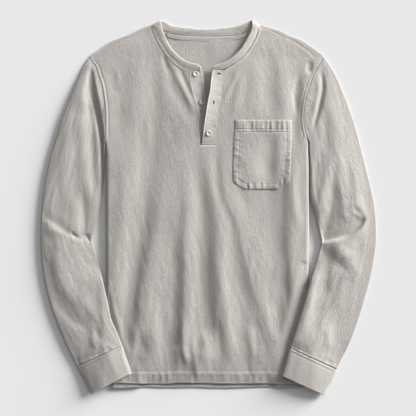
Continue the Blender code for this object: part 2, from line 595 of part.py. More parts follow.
def make_neckband():
    """The neckband: a doubled strip from one end of the opening, round the neck and back to the other."""
    seam, free = [], []
    for seam_x, seam_y, free_x, free_y, layer in NECKBAND:
        if layer == "front":
            least = 2 * BAND_AT_FOLD - BAND_ON_SURFACE
            height = max(float(front_height(seam_x, seam_y)), least) + BAND_LIFT
        else:
            height = BAND_AT_FOLD if layer == "fold" else BAND_ON_SURFACE
        lean = BAND_LEAN if layer == "front" else 0.0
        seam.append((seam_x, seam_y, height))
        free.append((free_x, free_y, height + lean))
    seam, free = np.array(seam, float), np.array(free, float)
    inset = (free - seam) / np.linalg.norm(free - seam, axis=1, keepdims=True) * BAND_GAP
    strip = np.stack([seam + inset, (seam + free) / 2, free], axis=1)
    index = grid_index(*strip.shape[:2])
    add_piece("neckband", *wall(strip.reshape(-1, 3), triangles(index), DOUBLED), "doubled_jersey")


def make_tape():
    """The neck tape: a strip on the inside of the back, just under the band."""
    xs = np.linspace(TAPE_RIGHT_X, TAPE_LEFT_X, TAPE_STATIONS)
    back = np.array([row[:2] for row in NECKBAND if row[4] == "back"], float)
    seam_y = np.interp(xs, back[:, 0], back[:, 1]) - TAPE_UNDER_SEAM
    height = ON_SURFACE + JERSEY / 2 + SEAM + TAPE / 2
    strip = np.stack([np.column_stack([xs, seam_y, np.full(len(xs), height)]),
                      np.column_stack([xs, seam_y - TAPE_WIDTH, np.full(len(xs), height)])], axis=1)
    index = grid_index(*strip.shape[:2])
    add_piece("neck_tape", *wall(strip.reshape(-1, 3), triangles(index), TAPE), "doubled_jersey")


def placket_points(kind):
    """The middle surface of a placket: from its sewn edge, level with the panel, to its free edge."""
    sewn = NECKLINE_RIGHT if kind == "under" else NECKLINE_LEFT
    free = UNDER_FREE_EDGE if kind == "under" else OVER_FREE_EDGE
    step = -PLACKET_STEP if kind == "under" else PLACKET_STEP
    y = np.array(PLACKET_ROWS, float)
    seam_x, free_x = along(sewn, y), along(free, y)
    gap = PLACKET_GAP * np.sign(free_x - seam_x)
    shares = np.linspace(0, 1, PLACKET_COLUMNS + 1)
    x = (seam_x + gap)[:, None] + (free_x - seam_x - gap)[:, None] * shares
    z = front_height(seam_x, y)[:, None] + step * shares
    z = np.maximum(z, LEAST_UNDER_PLACKET)
    return np.stack([x, np.broadcast_to(y[:, None], x.shape), z], axis=-1)


def make_placket(kind):
    points = placket_points(kind)
    index = grid_index(*points.shape[:2])
    add_piece("placket_" + kind, *wall(points.reshape(-1, 3), triangles(index), DOUBLED), "doubled_jersey")


def make_button(name, x, y, kind):
    """A button turned from a profile, with a rim round a dished face, lying on its placket."""
    points = placket_points(kind)
    row = int(np.argmin(np.abs(points[:, 0, 1] - y)))
    row = min(max(row, 1), len(points) - 2)
    near = points[row - 1 : row + 2].reshape(-1, 3)
    slope = np.linalg.lstsq(np.column_stack([near[:, :2], np.ones(len(near))]), near[:, 2], rcond=None)[0]
    normal = np.array((-slope[0], -slope[1], 1.0))
    normal /= np.linalg.norm(normal)
    seat = np.array((x, y, slope @ (x, y, 1.0))) + normal * (DOUBLED / 2 + SEAM + BUTTON_SEAT)
    radius, thick, edge = BUTTON_WIDTH / 2, BUTTON_THICKNESS, BUTTON_EDGE
    rim = radius - BUTTON_RIM
    profile = np.array(((0, 0), (radius - 2 * edge, 0), (radius, 1.6 * edge), (radius, thick - edge),
                        (radius - edge, thick), (rim, thick - 0.4 * edge),
                        (rim - 1.2 * edge, thick - BUTTON_DISH), (0, thick - BUTTON_DISH)))
    turns = np.arange(BUTTON_SIDES) * 2 * np.pi / BUTTON_SIDES
    across = np.cross(normal, (0.0, 1.0, 0.0))
    across /= np.linalg.norm(across)
    up = np.cross(normal, across)
    rings = [seat + across * r * np.cos(t) + up * r * np.sin(t) + normal * h
             for r, h in profile[1:-1] for t in turns]
    points = np.array(rings + [seat + normal * profile[0, 1], seat + normal * profile[-1, 1]])
    index = grid_index(len(profile) - 2, BUTTON_SIDES)
    index = np.column_stack([index, index[:, 0]])
    bottom, top = len(points) - 2, len(points) - 1
    caps = [(bottom, index[0, k], index[0, k + 1]) for k in range(BUTTON_SIDES)]
    caps += [(top, index[-1, k + 1], index[-1, k]) for k in range(BUTTON_SIDES)]
    faces = np.concatenate([triangles(index), np.array(caps)])
    add_piece(name, points, faces, "button_shell")


def main():
    for old in list(bpy.data.objects):
        bpy.data.objects.remove(old, do_unlink=True)
    rows, points, normals, index = make_front()
    make_pocket(rows, points, normals, index)
    make_back()
    make_sleeve("sleeve_right", SLEEVE_RIGHT, -1, SLEEVE_FOLDS_RIGHT)
    make_sleeve("sleeve_left", SLEEVE_LEFT, 1, SLEEVE_FOLDS_LEFT)
    make_cuff("cuff_right", CUFF_RIGHT, -1)
    make_cuff("cuff_left", CUFF_LEFT, 1)
    make_neckband()
    make_tape()
    make_placket("under")
    make_placket("over")
    for name, x, y, kind in BUTTONS:
        make_button(name, x, y, kind)


main()
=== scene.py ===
# %% [markdown]
# # A washed henley shirt, laid flat
# The shirt is dyed after it is sewn and then washed, so its cotton jersey is soft and full of small creases,
# and its seams have rubbed paler than the panels. The outlines, and the way that the pieces lie on each
# other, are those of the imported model. Each cell below makes one piece again as thin cloth, with its folds
# and its sewing.

import bmesh
import bpy
import numpy as np
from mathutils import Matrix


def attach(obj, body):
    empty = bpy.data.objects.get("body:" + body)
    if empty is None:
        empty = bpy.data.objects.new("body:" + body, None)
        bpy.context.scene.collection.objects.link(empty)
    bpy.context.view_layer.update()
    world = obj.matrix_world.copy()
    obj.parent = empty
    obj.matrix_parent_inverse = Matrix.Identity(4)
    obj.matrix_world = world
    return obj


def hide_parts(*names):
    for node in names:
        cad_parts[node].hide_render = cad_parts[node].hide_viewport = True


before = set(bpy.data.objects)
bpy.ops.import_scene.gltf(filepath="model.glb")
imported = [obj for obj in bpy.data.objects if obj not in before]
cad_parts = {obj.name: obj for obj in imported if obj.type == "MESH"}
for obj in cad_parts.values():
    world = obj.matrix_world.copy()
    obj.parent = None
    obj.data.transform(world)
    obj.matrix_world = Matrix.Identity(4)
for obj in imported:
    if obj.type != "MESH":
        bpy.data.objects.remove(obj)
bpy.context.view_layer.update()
print("nodes:", ", ".join(sorted(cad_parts)))

# %% [markdown]
# ## Measures
# A shirt maker works in millimetres, and so do these cells: X runs across the shirt to the wearer's left, Y
# up to the neck and Z out of the front. Lengths turn into metres only where a mesh is made.

# %% Measures
MM = 0.001
JERSEY, DOUBLED, TAPE, SEAM = 1.2, 2.0, 1.0, 0.3  # thickness of the layers, and the gap that sewn pieces keep
ON_SURFACE = JERSEY / 2
FRONT_LEVEL, SIDE_LEVEL = 10.0, 11.5  # the front's height; four layers lie under it along its sides
FRONT_LOWEST, SIDE_LOWEST, HEM_FALL, NECK_FALL = 3.2, 6.3, 3.6, 4.0
HEM_FALL_WAY, NECK_FALL_Y, NECK_FALL_WAY, ARMHOLE_DROP = 80, 190, 160, 1.6
HEM_TURN, HEM_UNEVEN = 3.3, 1.0  # how far the hem's edge turns down, and how unevenly
SHOULDER_EDGE, SHOULDER_FALL, SHOULDER_RISE = ON_SURFACE + JERSEY + SEAM, 12.0, 0.065
TUCK, ROLL, RAMP, HAIRPIN = 58.0, 7.0, 14.0, 10.0  # how the sides are turned under
ARMHOLE_END_Y, UNDERARM_Y, SLIT_END_Y = 140.0, 70.0, 124.0
HEM_SEAM_Y, FRONT_HEM_Y, BACK_HEM_SEAM_Y, BACK_HEM_Y = -329.0, -352.0, -341.0, -361.0
PRESSED_LEVEL = 6.4  # the front under a forearm
OVER_BODY = PRESSED_LEVEL + JERSEY + SEAM + 0.6

# Outlines from the top down: y, then x
SHOULDER_RIGHT = ((370, -110), (364, -117), (356, -137), (346, -157), (338, -177), (330, -197), (316, -217),
                  (300, -236))
SHOULDER_LEFT = ((370, 97), (366, 101), (358, 123), (352, 143), (342, 163), (334, 183), (322, 203),
                 (312, 217), (300, 229))
ARMHOLE_RIGHT = ((282, -225), (264, -219), (246, -213), (224, -209), (200, -206), (160, -205), (14, -205),
                 (-186, -204), (-361, -203))
ARMHOLE_LEFT = ((282, 219), (262, 209), (242, 201), (222, 195), (202, 191), (178, 189), (158, 191),
                (140, 195), (124, 199), (74, 201), (-46, 201), (-186, 199), (-361, 199))
NECKLINE_RIGHT = ((366, -110.5), (350, -105), (332, -97), (314, -87), (300, -77), (290, -67), (282, -57),
                  (276, -47), (272, -40), (250, -37), (230, -33), (208, -27), (184, -21), (164, -18),
                  (138, -17), (124, -17), (-361, -17))
NECKLINE_LEFT = ((366, 101), (348, 99), (334, 93), (320, 85), (306, 75), (294, 63), (286, 51), (278, 39),
                 (272, 31), (234, 27), (204, 23), (178, 19), (154, 15), (124, 13), (-361, 13))
BACK_NECK_RIGHT = ((366, -111), (360, -105.5), (354, -93), (348, -78), (344, -57), (-361, -57))
BACK_NECK_LEFT = ((366, 101), (360, 97), (354, 85), (348, 70), (344, 52), (-361, 52))
FOREARM_EDGE_RIGHT = ((-150, 214), (-220, 196), (-276, 173), (-332, 153), (-361, 141))
FOREARM_EDGE_LEFT = ((-130, 210), (-186, 192), (-226, 180), (-280, 163), (-310, 156), (-361, 138))
print("length from the shoulder to the front hem, mm:", SHOULDER_RIGHT[0][0] - FRONT_HEM_Y)

# %% [markdown]
# ## Folds
# Soft cloth that is laid down keeps long, shallow folds. They could be simulated, but then they would fall
# anywhere. Here each one is a stroke: its height (down if minus), its width to the left and to the right of
# someone who walks along it, and the points x, y that it runs through. Only about a third of these strokes
# were placed one by one. A separate fitting program added the others, with their widths, and worked out
# nearly
# all the heights. So this table is fitted numbers and not a design, and it is not an example to follow:
# strokes like these are better placed one by one by hand.

# %% The folds
BODY_FOLDS = (
    (-1.7, 4, 7, -65, 298, -55, 270, -41, 238, -31, 214, -23, 190),
    (2, 8, 5, -75, 290, -63, 262, -49, 234, -35, 204, -23, 178),
    (3.1, 10, 6, -51, -206, -51, -250, -49, -286, -39, -314, -29, -330),
    (0.8, 6, 6, -151, -222, -145, -254, -149, -290, -149, -326),
    (0.9, 7, 7, -11, -238, -9, -270, -13, -306, -17, -342),
    (2, 7, 7, -33, -246, -31, -286, -25, -326, -23, -366),
    (-1.3, 4, 4, 119, 170, 107, 158),
    (-1.1, 10, 10, 59, 38, 71, 10, 87, -2),
    (-2.6, 4.5, 4.5, -93, 310, -85, 286, -77, 262),
    (1.4, 4, 6, 65, 294, 55, 262, 39, 230, 25, 194),
    (2.7, 24.6, 18.1, -51, 179, -67, 120, -81, 70, -90, 19, -97, -32, -112, -82, -121, -133, -129, -184,
     -124, -234, -111, -285, -130, -336, -152, -392),
    (3.5, 16.4, 17, -24, 179, -11, 120, 0, 70, 8, 19, 17, -32, 19, -82, 20, -133, 25, -184, 33, -234, 42,
     -285, 34, -336, 24, -395),
    (-4.2, 18, 20.4, -109, 385, -110, 308, -111, 260, -110, 211, -111, 162, -117, 113, -122, 64, -129, 16,
     -135, -33, -142, -82, -152, -131, -156, -180, -162, -229, -167, -278, -174, -354),
    (-2.8, 17, 20.5, -27, 178, -23, 120, -20, 72, -16, 23, -14, -26, -12, -74, -10, -123, -8, -172, -4,
     -220, 13, -269, 32, -318, 54, -371),
    (2.1, 13.9, 19.8, 174, 137, 170, 98, 165, 49, 168, -1, 168, -50, 166, -100, 170, -150, 168, -200, 166,
     -238),
    (3.8, 19.9, 16.7, -56, 142, -51, 90, -47, 41, -45, -8, -47, -58, -46, -108, -45, -157, -46, -206, -49,
     -256, -44, -306, -40, -357),
    (-2.4, 16.7, 22.1, -78, 100, -73, 50, -68, 2, -74, -46, -76, -94, -74, -142, -74, -191, -78, -239,
     -79, -287, -81, -336, -82, -386),
    (-3.1, 13.9, 13.8, 183, 302, 180, 280, 175, 238, 174, 196, 172, 153, 167, 110, 165, 88),
    (1.7, 23.4, 13.9, -184, 149, -176, 106, -168, 60, -170, 13, -177, -34, -180, -81, -185, -128, -188,
     -175, -190, -222, -192, -264),
    (2.5, 26, 12.5, 34, 177, 32, 124, 30, 76, 36, 27, 56, -22, 69, -70, 78, -119, 94, -168, 112, -217,
     133, -266, 154, -314),
    (-2.5, 17.9, 26, 115, 174, 123, 134, 125, 94, 122, 32, 121, -17, 131, -67, 137, -116, 140, -166, 139,
     -216, 142, -266, 144, -304),
    (-1.1, 12.9, 19.4, 34, 42, 39, -2, 45, -49, 51, -97, 61, -145, 71, -192, 72, -240, 70, -288, 75, -336,
     80, -379),
    (-2.6, 16.3, 20.8, 116, 325, 117, 308, 120, 265, 123, 222, 125, 178, 125, 162),
    (-1.4, 12.5, 9.4, -83, 301, -80, 284, -74, 246, -52, 207, -33, 168, -25, 154),
    (-2.6, 14, 8.1, 91, -220, 92, -228, 98, -258, 98, -290, 98, -298),
    (-1.7, 17.1, 13.9, -180, 319, -177, 298, -171, 259, -174, 220, -178, 180, -176, 140, -174, 120),
    (-1.2, 8.9, 8.6, 17, 135, 17, 120, 16, 83, 18, 46, 23, 8, 25, -6),
    (0.9, 13.7, 16.5, 137, 332, 141, 310, 148, 270, 151, 228, 153, 188, 152, 146, 151, 125),
    (-1.8, 6.5, 13.9, -192, 281, -191, 274, -189, 248, -184, 222, -183, 216),
    (1.3, 9.9, 7, 69, 284, 67, 272, 58, 228, 48, 182, 45, 171),
    (-0.6, 8.1, 9.8, 79, 294, 78, 282, 76, 238, 68, 192, 66, 181),
    (-2.7, 15.9, 7.4, -139, -252, -140, -260, -141, -290, -152, -320, -155, -327),
    (-7, 4.5, 4.5, 203, 294, 201, 266),
    (-3.7, 14, 9.3, -131, -56, -137, -88, -145, -128, -151, -168, -156, -208, -165, -249, -153, -289,
     -148, -330, -145, -361),
    (-1.9, 9.3, 14.2, 151, 196, 151, 152, 151, 105, 148, 58, 144, 10, 144, -37, 147, -85, 154, -132, 151,
     -180, 149, -223),
    (-1.7, 15.1, 11.4, -64, 84, -58, 40, -51, -2, -52, -44, -60, -87, -61, -130, -62, -172, -66, -214,
     -68, -257, -74, -300, -80, -344),
    (1.5, 11.5, 20, -52, 82, -60, 40, -70, -6, -76, -52, -82, -98, -82, -145, -87, -191, -81, -237, -78,
     -284, -74, -326),
    (1.3, 18, 20, -88, 282, -72, 242, -53, 196, -41, 150, -34, 104, -32, 57, -30, 11, -31, -35, -27, -82,
     -25, -124),
    (-0.6, 20, 16.1, -109, 270, -100, 232, -89, 190, -86, 147, -91, 105, -97, 62, -102, 20, -103, -23,
     -110, -66, -116, -104),
    (1, 16.6, 18.1, 109, 65, 114, 38, 121, -3, 122, -44, 117, -85, 122, -126, 118, -168, 116, -194),
    (2.5, 20, 10.7, 31, 54, 32, 14, 32, -28, 31, -71, 30, -114, 31, -157, 40, -200, 41, -243, 40, -286,
     40, -325),
    (2, 16.3, 10.4, -105, 255, -109, 220, -116, 176, -121, 132, -122, 88, -126, 43, -131, -1, -136, -46,
     -140, -80),
    (-2.6, 9.3, 13, 136, -169, 136, -180, 136, -220, 137, -260, 137, -270),
    (-2.5, 9.3, 15.6, 147, -122, 149, -138, 154, -177, 147, -216, 138, -256, 135, -271),
    (-2, 20, 11.3, -103, -132, -101, -156, -95, -200, -91, -246, -86, -290, -84, -336, -82, -359),
    (3.2, 20, 18.8, -2, -241, -2, -250, -1, -282, -3, -316, -4, -324),
    (-0.5, 9.3, 4.3, 151, 166, 151, 152, 151, 117, 151, 82, 153, 46, 154, 33),
    (-1.6, 8, 9.3, -157, -107, -160, -132, -164, -170, -168, -208, -168, -246, -159, -284, -150, -322,
     -145, -346),
    (2, 9.3, 12.1, 177, 113, 174, 94, 168, 48, 171, 1, 181, -46, 185, -64),
    (-1.6, 9.3, 20, 58, -193, 59, -210, 64, -252, 76, -294, 75, -336, 75, -352),
    (-2.9, 9.3, 4.6, 182, 271, 180, 260, 173, 220, 177, 180, 178, 170),
    (1.8, 14.7, 9.2, 29, -44, 21, -70, 10, -110, 13, -151, 17, -192, 15, -233, 15, -274, 15, -300),
    (-2.8, 14.1, 20, 120, 164, 121, 150, 124, 116, 119, 82, 115, 48, 114, 35),
    (1.6, 20, 12.8, 67, 116, 70, 108, 80, 80, 84, 50, 85, 43),
    (2.1, 9.4, 20, -54, -273, -54, -278, -53, -294, -47, -310, -45, -314),
    (2.3, 20, 10, -18, -270, -19, -278, -21, -306, -12, -336, -9, -343),
    (-1.7, 13.6, 10.4, -137, -243, -135, -250, -129, -274, -122, -298, -121, -304),
    (1.1, 13, 20, -64, 80, -65, 56, -68, 11, -63, -34, -56, -80, -57, -126, -57, -149),
    (3.2, 20, 20, -15, 285, -15, 276, -15, 242, -15, 208, -15, 200),
    (-1.1, 4.6, 9.3, -189, -171, -187, -178, -180, -204, -174, -230, -173, -236),
)
SLEEVE_FOLDS_RIGHT = (
    (-8, 2.6, 6.5, -236, 282, -233, 262, -230, 242, -227, 222, -222, 202, -217, 178, -213, 150, -210, 118,
     -208, 82, -207, 34, -208, 4),
    (1.2, 3.5, 7, -235, 300, -239, 282, -242, 258, -245, 230),
    (2.3, 14, 14, -247, 302, -249, 254, -250, 204, -249, 144, -245, 94, -238, 44, -233, -6, -229, -58),
    (-0.7, 12, 9, -263, 214, -265, 178, -266, 114, -263, 54, -255, -6, -247, -74),
    (1.2, 10, 12, -283, 194, -285, 154, -287, 104, -289, 54, -285, 4, -281, -26),
    (-2.6, 12, 6, -337, -8, -325, -18, -305, -34, -285, -48, -267, -58, -249, -62, -229, -70),
    (-1.6, 7, 5, -251, -52, -243, -60, -235, -66, -229, -72),
    (4.7, 20, 14, -321, -14, -313, -58, -305, -98, -293, -150, -269, -184, -233, -206),
    (-1.6, 12, 9, -317, -170, -297, -198, -277, -220, -257, -234, -221, -250),
    (-0.9, 6, 6, -227, -234, -221, -262, -215, -294),
    (0.4, 10, 10, -269, -86, -257, -126, -241, -170),
    (2, 15.5, 17.3, -313, -8, -302, -40, -287, -81, -273, -122, -261, -164, -259, -205, -262, -246, -252,
     -288, -244, -320),
    (-2.5, 9.3, 9.3, -252, 55, -251, 40, -250, 3, -249, -34, -254, -72, -256, -86),
    (-1.1, 20, 9.3, -322, -43, -319, -62, -313, -98, -310, -134, -300, -170, -295, -206, -292, -224),
    (-2.9, 9.3, 20, -232, 175, -233, 158, -235, 116, -233, 74, -228, 32, -226, 16),
    (-3.5, 9.3, 7.7, -237, 277, -238, 264, -240, 233, -237, 202, -230, 170, -228, 158),
    (1.4, 17.4, 9.3, -249, 283, -250, 254, -251, 211, -261, 167, -269, 124, -279, 80, -289, 36, -295, 8),
    (-2.5, 9.3, 19, -246, -207, -242, -214, -227, -240, -214, -266, -211, -272),
    (1.9, 20, 10.9, -332, -39, -323, -41, -288, -48, -253, -52, -244, -53),
    (-3.5, 4.5, 4.5, -237, 262, -234, 242, -230, 218, -225, 198, -220, 174, -216, 146, -213, 114),
    (1.4, 4, 3.5, -230, 274, -225, 250, -220, 228, -215, 206, -211, 182),
    (-2.5, 9.3, 13.9, -256, 223, -246, 194, -230, 148, -228, 102, -228, 56, -238, 10, -246, -36, -251, -66),
    (-1.5, 9.3, 13.6, -228, -143, -227, -158, -223, -195, -218, -232, -214, -270, -212, -284),
    (-2.6, 20, 20, -268, 208, -263, 203, -245, 184, -227, 162, -222, 157),
    (-2.1, 9.3, 9.3, -319, -43, -318, -50, -312, -74, -308, -100, -306, -106),
    (1.1, 12, 9.9, -242, -219, -241, -228, -235, -258, -221, -288, -217, -295),
    (0.7, 9.3, 9.3, -248, -122, -249, -142, -250, -178, -230, -214, -226, -251, -221, -288, -218, -307),
    (-1.2, 8.5, 11, -239, -233, -239, -240, -240, -264, -235, -288, -234, -294),
    (1, 9.3, 9.3, -268, 197, -270, 182, -275, 147, -282, 112, -298, 76, -304, 63),
    (-2.4, 4, 3, -277, -46, -271, -54, -266, -58, -257, -62),
    (-2.2, 4, 3, -251, -54, -243, -60, -237, -66, -231, -70),
)
SLEEVE_FOLDS_LEFT = (
    (-4.5, 4, 5, 223, 286, 227, 262, 229, 238, 225, 214, 219, 190, 213, 170, 205, 146),
    (1.4, 4, 6, 217, 274, 221, 246, 217, 218, 211, 190, 205, 162),
    (0.8, 12, 10, 231, 302, 235, 254, 237, 222, 241, 190, 249, 150, 252, 114, 257, 62),
    (-1.3, 8, 9, 231, 214, 232, 164, 229, 124, 219, 84, 209, 34),
    (2.2, 9, 9, 245, 110, 233, 54, 225, 14, 217, -38),
    (-1.9, 8, 8, 253, 118, 248, 70, 246, 24, 243, -14, 237, -62),
    (1, 10, 8, 257, 154, 264, 78, 269, 24, 277, -42),
    (2.1, 12, 7, 285, 104, 293, 50, 299, 6, 311, -46),
    (-4.2, 26, 3, 179, -80, 201, -72, 227, -68, 243, -64, 273, -58, 291, -48, 305, -34, 314, -18),
    (0.8, 3, 9, 179, -84, 201, -78, 227, -72, 243, -68, 273, -62, 293, -52, 307, -40, 317, -22),
    (0.4, 6, 5, 303, 14, 309, -6, 313, -20, 313, -38),
    (5.5, 20, 20, 247, -50, 257, -78, 267, -102, 283, -130, 291, -154),
    (0.9, 8, 5, 283, -106, 291, -120, 297, -138),
    (-2.6, 9, 12, 237, -86, 235, -136, 229, -176, 219, -216, 203, -266),
    (0.5, 10, 8, 251, -110, 252, -146, 247, -186, 243, -210),
    (1.2, 10, 10, 267, -110, 267, -156, 259, -196, 251, -236),
    (0.9, 8, 8, 227, -206, 223, -246, 217, -290),
    (-2.6, 16.6, 18.9, 205, -76, 215, -82, 255, -108, 295, -120, 306, -124),
    (2.6, 9.3, 12.4, 281, 46, 285, 32, 297, -4, 303, -40, 301, -76, 300, -90),
    (-2.1, 13.3, 9.3, 252, -100, 255, -104, 266, -118, 276, -134, 278, -138),
    (-4.1, 18.3, 9.3, 229, -112, 226, -128, 218, -168, 210, -209, 202, -250, 199, -266),
    (1.9, 15, 9.3, 236, 122, 239, 112, 247, 76, 246, 38, 246, 29),
    (1.5, 20, 20, 242, 62, 247, 57, 267, 36, 287, 20, 293, 15),
    (-3.2, 7.8, 9.3, 239, -3, 238, -10, 235, -34, 232, -58, 231, -64),
    (1.3, 5, 10.6, 255, 66, 257, 56, 267, 18, 272, -22, 273, -32),
    (1.2, 11.2, 16.4, 261, -87, 265, -90, 280, -97, 295, -105, 299, -107),
    (-1.8, 11, 9.3, 237, 207, 238, 190, 241, 149, 241, 108, 234, 66, 231, 50),
    (0.8, 9.3, 8.3, 299, 36, 302, 18, 310, -24, 288, -67, 293, -110, 295, -127),
    (-1.6, 18.8, 8.7, 250, 73, 251, 60, 255, 29, 249, -2, 250, -34, 250, -46),
    (-1.8, 14.5, 10.1, 236, -137, 237, -148, 241, -186, 226, -224, 222, -233),
    (2, 9.4, 20, 282, 20, 283, 14, 284, -4, 290, -24, 292, -28),
    (1.7, 9.3, 9.3, 235, -232, 236, -238, 238, -260, 242, -284, 243, -290),
    (1.9, 9.3, 9.3, 296, -36, 294, -42, 283, -62, 278, -84, 277, -89),
    (-2.3, 20, 13.8, 215, -81, 219, -83, 236, -90, 253, -96, 257, -98),
    (1.5, 9.3, 20, 252, -7, 257, -10, 278, -21, 299, -25, 305, -26),
    (-3.2, 10, 4, 215, -74, 231, -66, 247, -64, 273, -58, 291, -48, 305, -34, 313, -18),
    (-2, 6, 4, 287, 2, 299, -10, 309, -20, 315, -28),
)
print("folds:", len(BODY_FOLDS) + len(SLEEVE_FOLDS_RIGHT) + len(SLEEVE_FOLDS_LEFT))

# %% [markdown]
# ## Tools for curves and heights
# An outline is a short table, and a smooth curve through it gives every row between. A curve that never
# overshoots its table (a monotone cubic) keeps a straight side straight next to a round armhole.

# %% Curves and heights
def ease(t):
    """0 below 0, 1 above 1, and 3t^2 - 2t^3 between."""
    t = np.clip(t, 0.0, 1.0)
    return t * t * (3 - 2 * t)


def near(distance, width):
    """A bell curve: 1 where the distance is 0, and exp(-(distance / width)^2) elsewhere."""
    return np.exp(-((distance / width) ** 2))


def softly_above(value, least):
    """The larger of the two with a rounded corner: least + ln(1 + exp(1.6 (value - least))) / 1.6."""
    return least + np.logaddexp(0, (value - least) * 1.6) / 1.6


def smooth(known, values, at):
    """A cubic through the values; its slope at each is the harmonic mean of its neighbours' (0 at a turn)."""
    known, values, at = (np.asarray(a, float) for a in (known, values, at))
    step = np.diff(known)
    rise = np.diff(values) / step
    slope = np.concatenate([rise[:1], np.zeros(len(rise) - 1), rise[-1:]])
    same = rise[:-1] * rise[1:] > 0
    slope[1:-1][same] = 2 * rise[:-1][same] * rise[1:][same] / (rise[:-1] + rise[1:])[same]
    k = np.clip(np.searchsorted(known, at) - 1, 0, len(step) - 1)
    t = np.clip((at - known[k]) / step[k], 0.0, 1.0)
    a, b = values[k], values[k + 1]
    bend_a, bend_b = slope[k] * step[k], slope[k + 1] * step[k]
    square, cube = 3 * (b - a) - 2 * bend_a - bend_b, 2 * (a - b) + bend_a + bend_b
    return a + t * bend_a + t * t * square + t**3 * cube


def along(table, y):
    """The x of an outline, a table of y, x, at the heights y."""
    rows = np.array(table, float)[::-1]
    return smooth(rows[:, 0], rows[:, 1], y)


def outer_edge(y, side):
    """The x of the panels' shoulder, armhole and side on one side, -1 for the wearer's right."""
    return along(SHOULDER_RIGHT + ARMHOLE_RIGHT if side < 0 else SHOULDER_LEFT + ARMHOLE_LEFT, y)


def along_path(path, count):
    """Points at even steps on a smooth curve through a path's, one cubic of arc length for each column."""
    path = np.asarray(path, float)
    length = np.append(0, np.cumsum(np.linalg.norm(np.diff(path[:, :2], axis=0), axis=1)))
    at = np.linspace(0, length[-1], count)
    return np.stack([smooth(length, path[:, k], at) for k in range(path.shape[1])], axis=1)


def from_path(x, y, path):
    """Each point's distance from a path of x, y points, how far along its nearest place is, from 0 to 1, and
    whether it lies to the left of the path."""
    x, y = np.broadcast_arrays(np.asarray(x, float), np.asarray(y, float))
    nearest, place, left = np.full(x.shape, 1e9), np.zeros(x.shape), np.zeros(x.shape, bool)
    steps = np.linalg.norm(np.diff(path, axis=0), axis=1)
    total, passed = steps.sum(), np.append(0, np.cumsum(steps))
    for k, step in enumerate(steps):
        (ax, ay), (dx, dy) = path[k], (path[k + 1] - path[k]) / step
        t = np.clip((x - ax) * dx + (y - ay) * dy, 0, step)
        off_x, off_y = x - ax - t * dx, y - ay - t * dy
        away = np.hypot(off_x, off_y)
        closer = away < nearest
        nearest = np.where(closer, away, nearest)
        place = np.where(closer, (passed[k] + t) / total, place)
        left = np.where(closer, dx * off_y - dy * off_x > 0, left)
    return nearest, place, left


def folded(x, y, folds):
    """The sum of the folds: each is height * exp(-(distance / width)^2). A soft fold fades over a third of
    its path at each end; a crease, over twice as steep on one side, keeps its height almost to the end."""
    total = np.zeros(np.broadcast(x, y).shape)
    for height, left_width, right_width, *path in folds:
        away, place, left = from_path(x, y, along_path(np.reshape(path, (-1, 2)), 2 * len(path)))
        width = np.where(left, left_width, right_width)
        fade = 0.1 if max(left_width, right_width) > 2.2 * min(left_width, right_width) else 0.36
        total += height * near(away, width) * ease(place / fade) * ease((1 - place) / fade)
    return total


LATTICE = np.random.default_rng(11).uniform(-1, 1, (256, 256))


def noise(x, y, cell_x, cell_y, start=0):
    """Smooth random heights from -1 to 1: the lattice's four nearest values, blended with an eased weight."""
    u, v = x / cell_x + 37.4 * start + 500, y / cell_y + 19.7 * start + 500
    i, j = np.floor(u).astype(int), np.floor(v).astype(int)
    s, t = ease(u - i), ease(v - j)
    low = LATTICE[i % 256, j % 256] * (1 - s) + LATTICE[(i + 1) % 256, j % 256] * s
    high = LATTICE[i % 256, (j + 1) % 256] * (1 - s) + LATTICE[(i + 1) % 256, (j + 1) % 256] * s
    return low * (1 - t) + high * t


def washed(across, down, start=0):
    """The creases that washing leaves, in mm: long ones slanting either way, short ones and a slow swell."""
    share = ease(0.5 + 0.9 * noise(across, down, 60, 80, start + 2))
    one_way = noise(across + 0.08 * down, down, 9, 52, start)
    other_way = noise(across - 0.1 * down, down, 9, 46, start + 1)
    long = one_way * share + other_way * (1 - share)
    short = noise(across + 0.3 * down, down, 6.5, 24, start + 4)
    return 0.34 * long + 0.22 * short + 0.3 * noise(across, down, 26, 70, start + 3)


print("a washed crease, mm:", np.round(washed(np.arange(0, 20, 5.0), np.zeros(4)), 2))

# %% [markdown]
# ## Meshes
# Every piece is a grid of points, whose cells become the faces. A UV map in metres goes with it, laid out
# as the cloth was cut, so that the knit and the dye follow the cloth round a sleeve. Marks are numbers from
# 0 to 1 at each point, such as how much a seam has rubbed, which the materials read.

# %% Meshes
def grid_piece(name, points, uv, marks=(), closed=False, keep=None):
    """A mesh from points (rows, columns, 3) in mm and uv in metres; closed joins the last column to the
    first, and keep says which cells of the grid become faces."""
    rows, columns = points.shape[:2]
    index = np.arange(rows * columns).reshape(rows, columns)
    index = np.column_stack([index, index[:, 0]]) if closed else index
    uv_index = np.arange(uv.shape[0] * uv.shape[1]).reshape(uv.shape[:2])

    def cells(of):
        return np.stack([of[:-1, :-1], of[1:, :-1], of[1:, 1:], of[:-1, 1:]], axis=-1)

    faces, corners = cells(index), cells(uv_index)
    chosen = np.ones(faces.shape[:2], bool) if keep is None else keep
    faces, corners = faces[chosen], corners[chosen]
    used, faces = np.unique(faces, return_inverse=True)
    faces = faces.reshape(-1, 4)
    flat = points.reshape(-1, 3)[used]
    mesh = bpy.data.meshes.new(name)
    mesh.from_pydata((flat * MM).tolist(), [], faces.tolist())
    cloth = mesh.uv_layers.new(name="cloth")
    cloth.data.foreach_set("uv", uv.reshape(-1, 2)[corners.reshape(-1)].astype(np.float32).ravel())
    for mark, values in dict(marks).items():
        given = mesh.attributes.new(mark, "FLOAT", "POINT")
        whole = np.broadcast_to(values, (rows, columns)).reshape(-1)
        given.data.foreach_set("value", whole[used].astype(np.float32))
    mesh.shade_smooth()
    piece = bpy.data.objects.new(name, mesh)
    bpy.context.collection.objects.link(piece)
    return piece


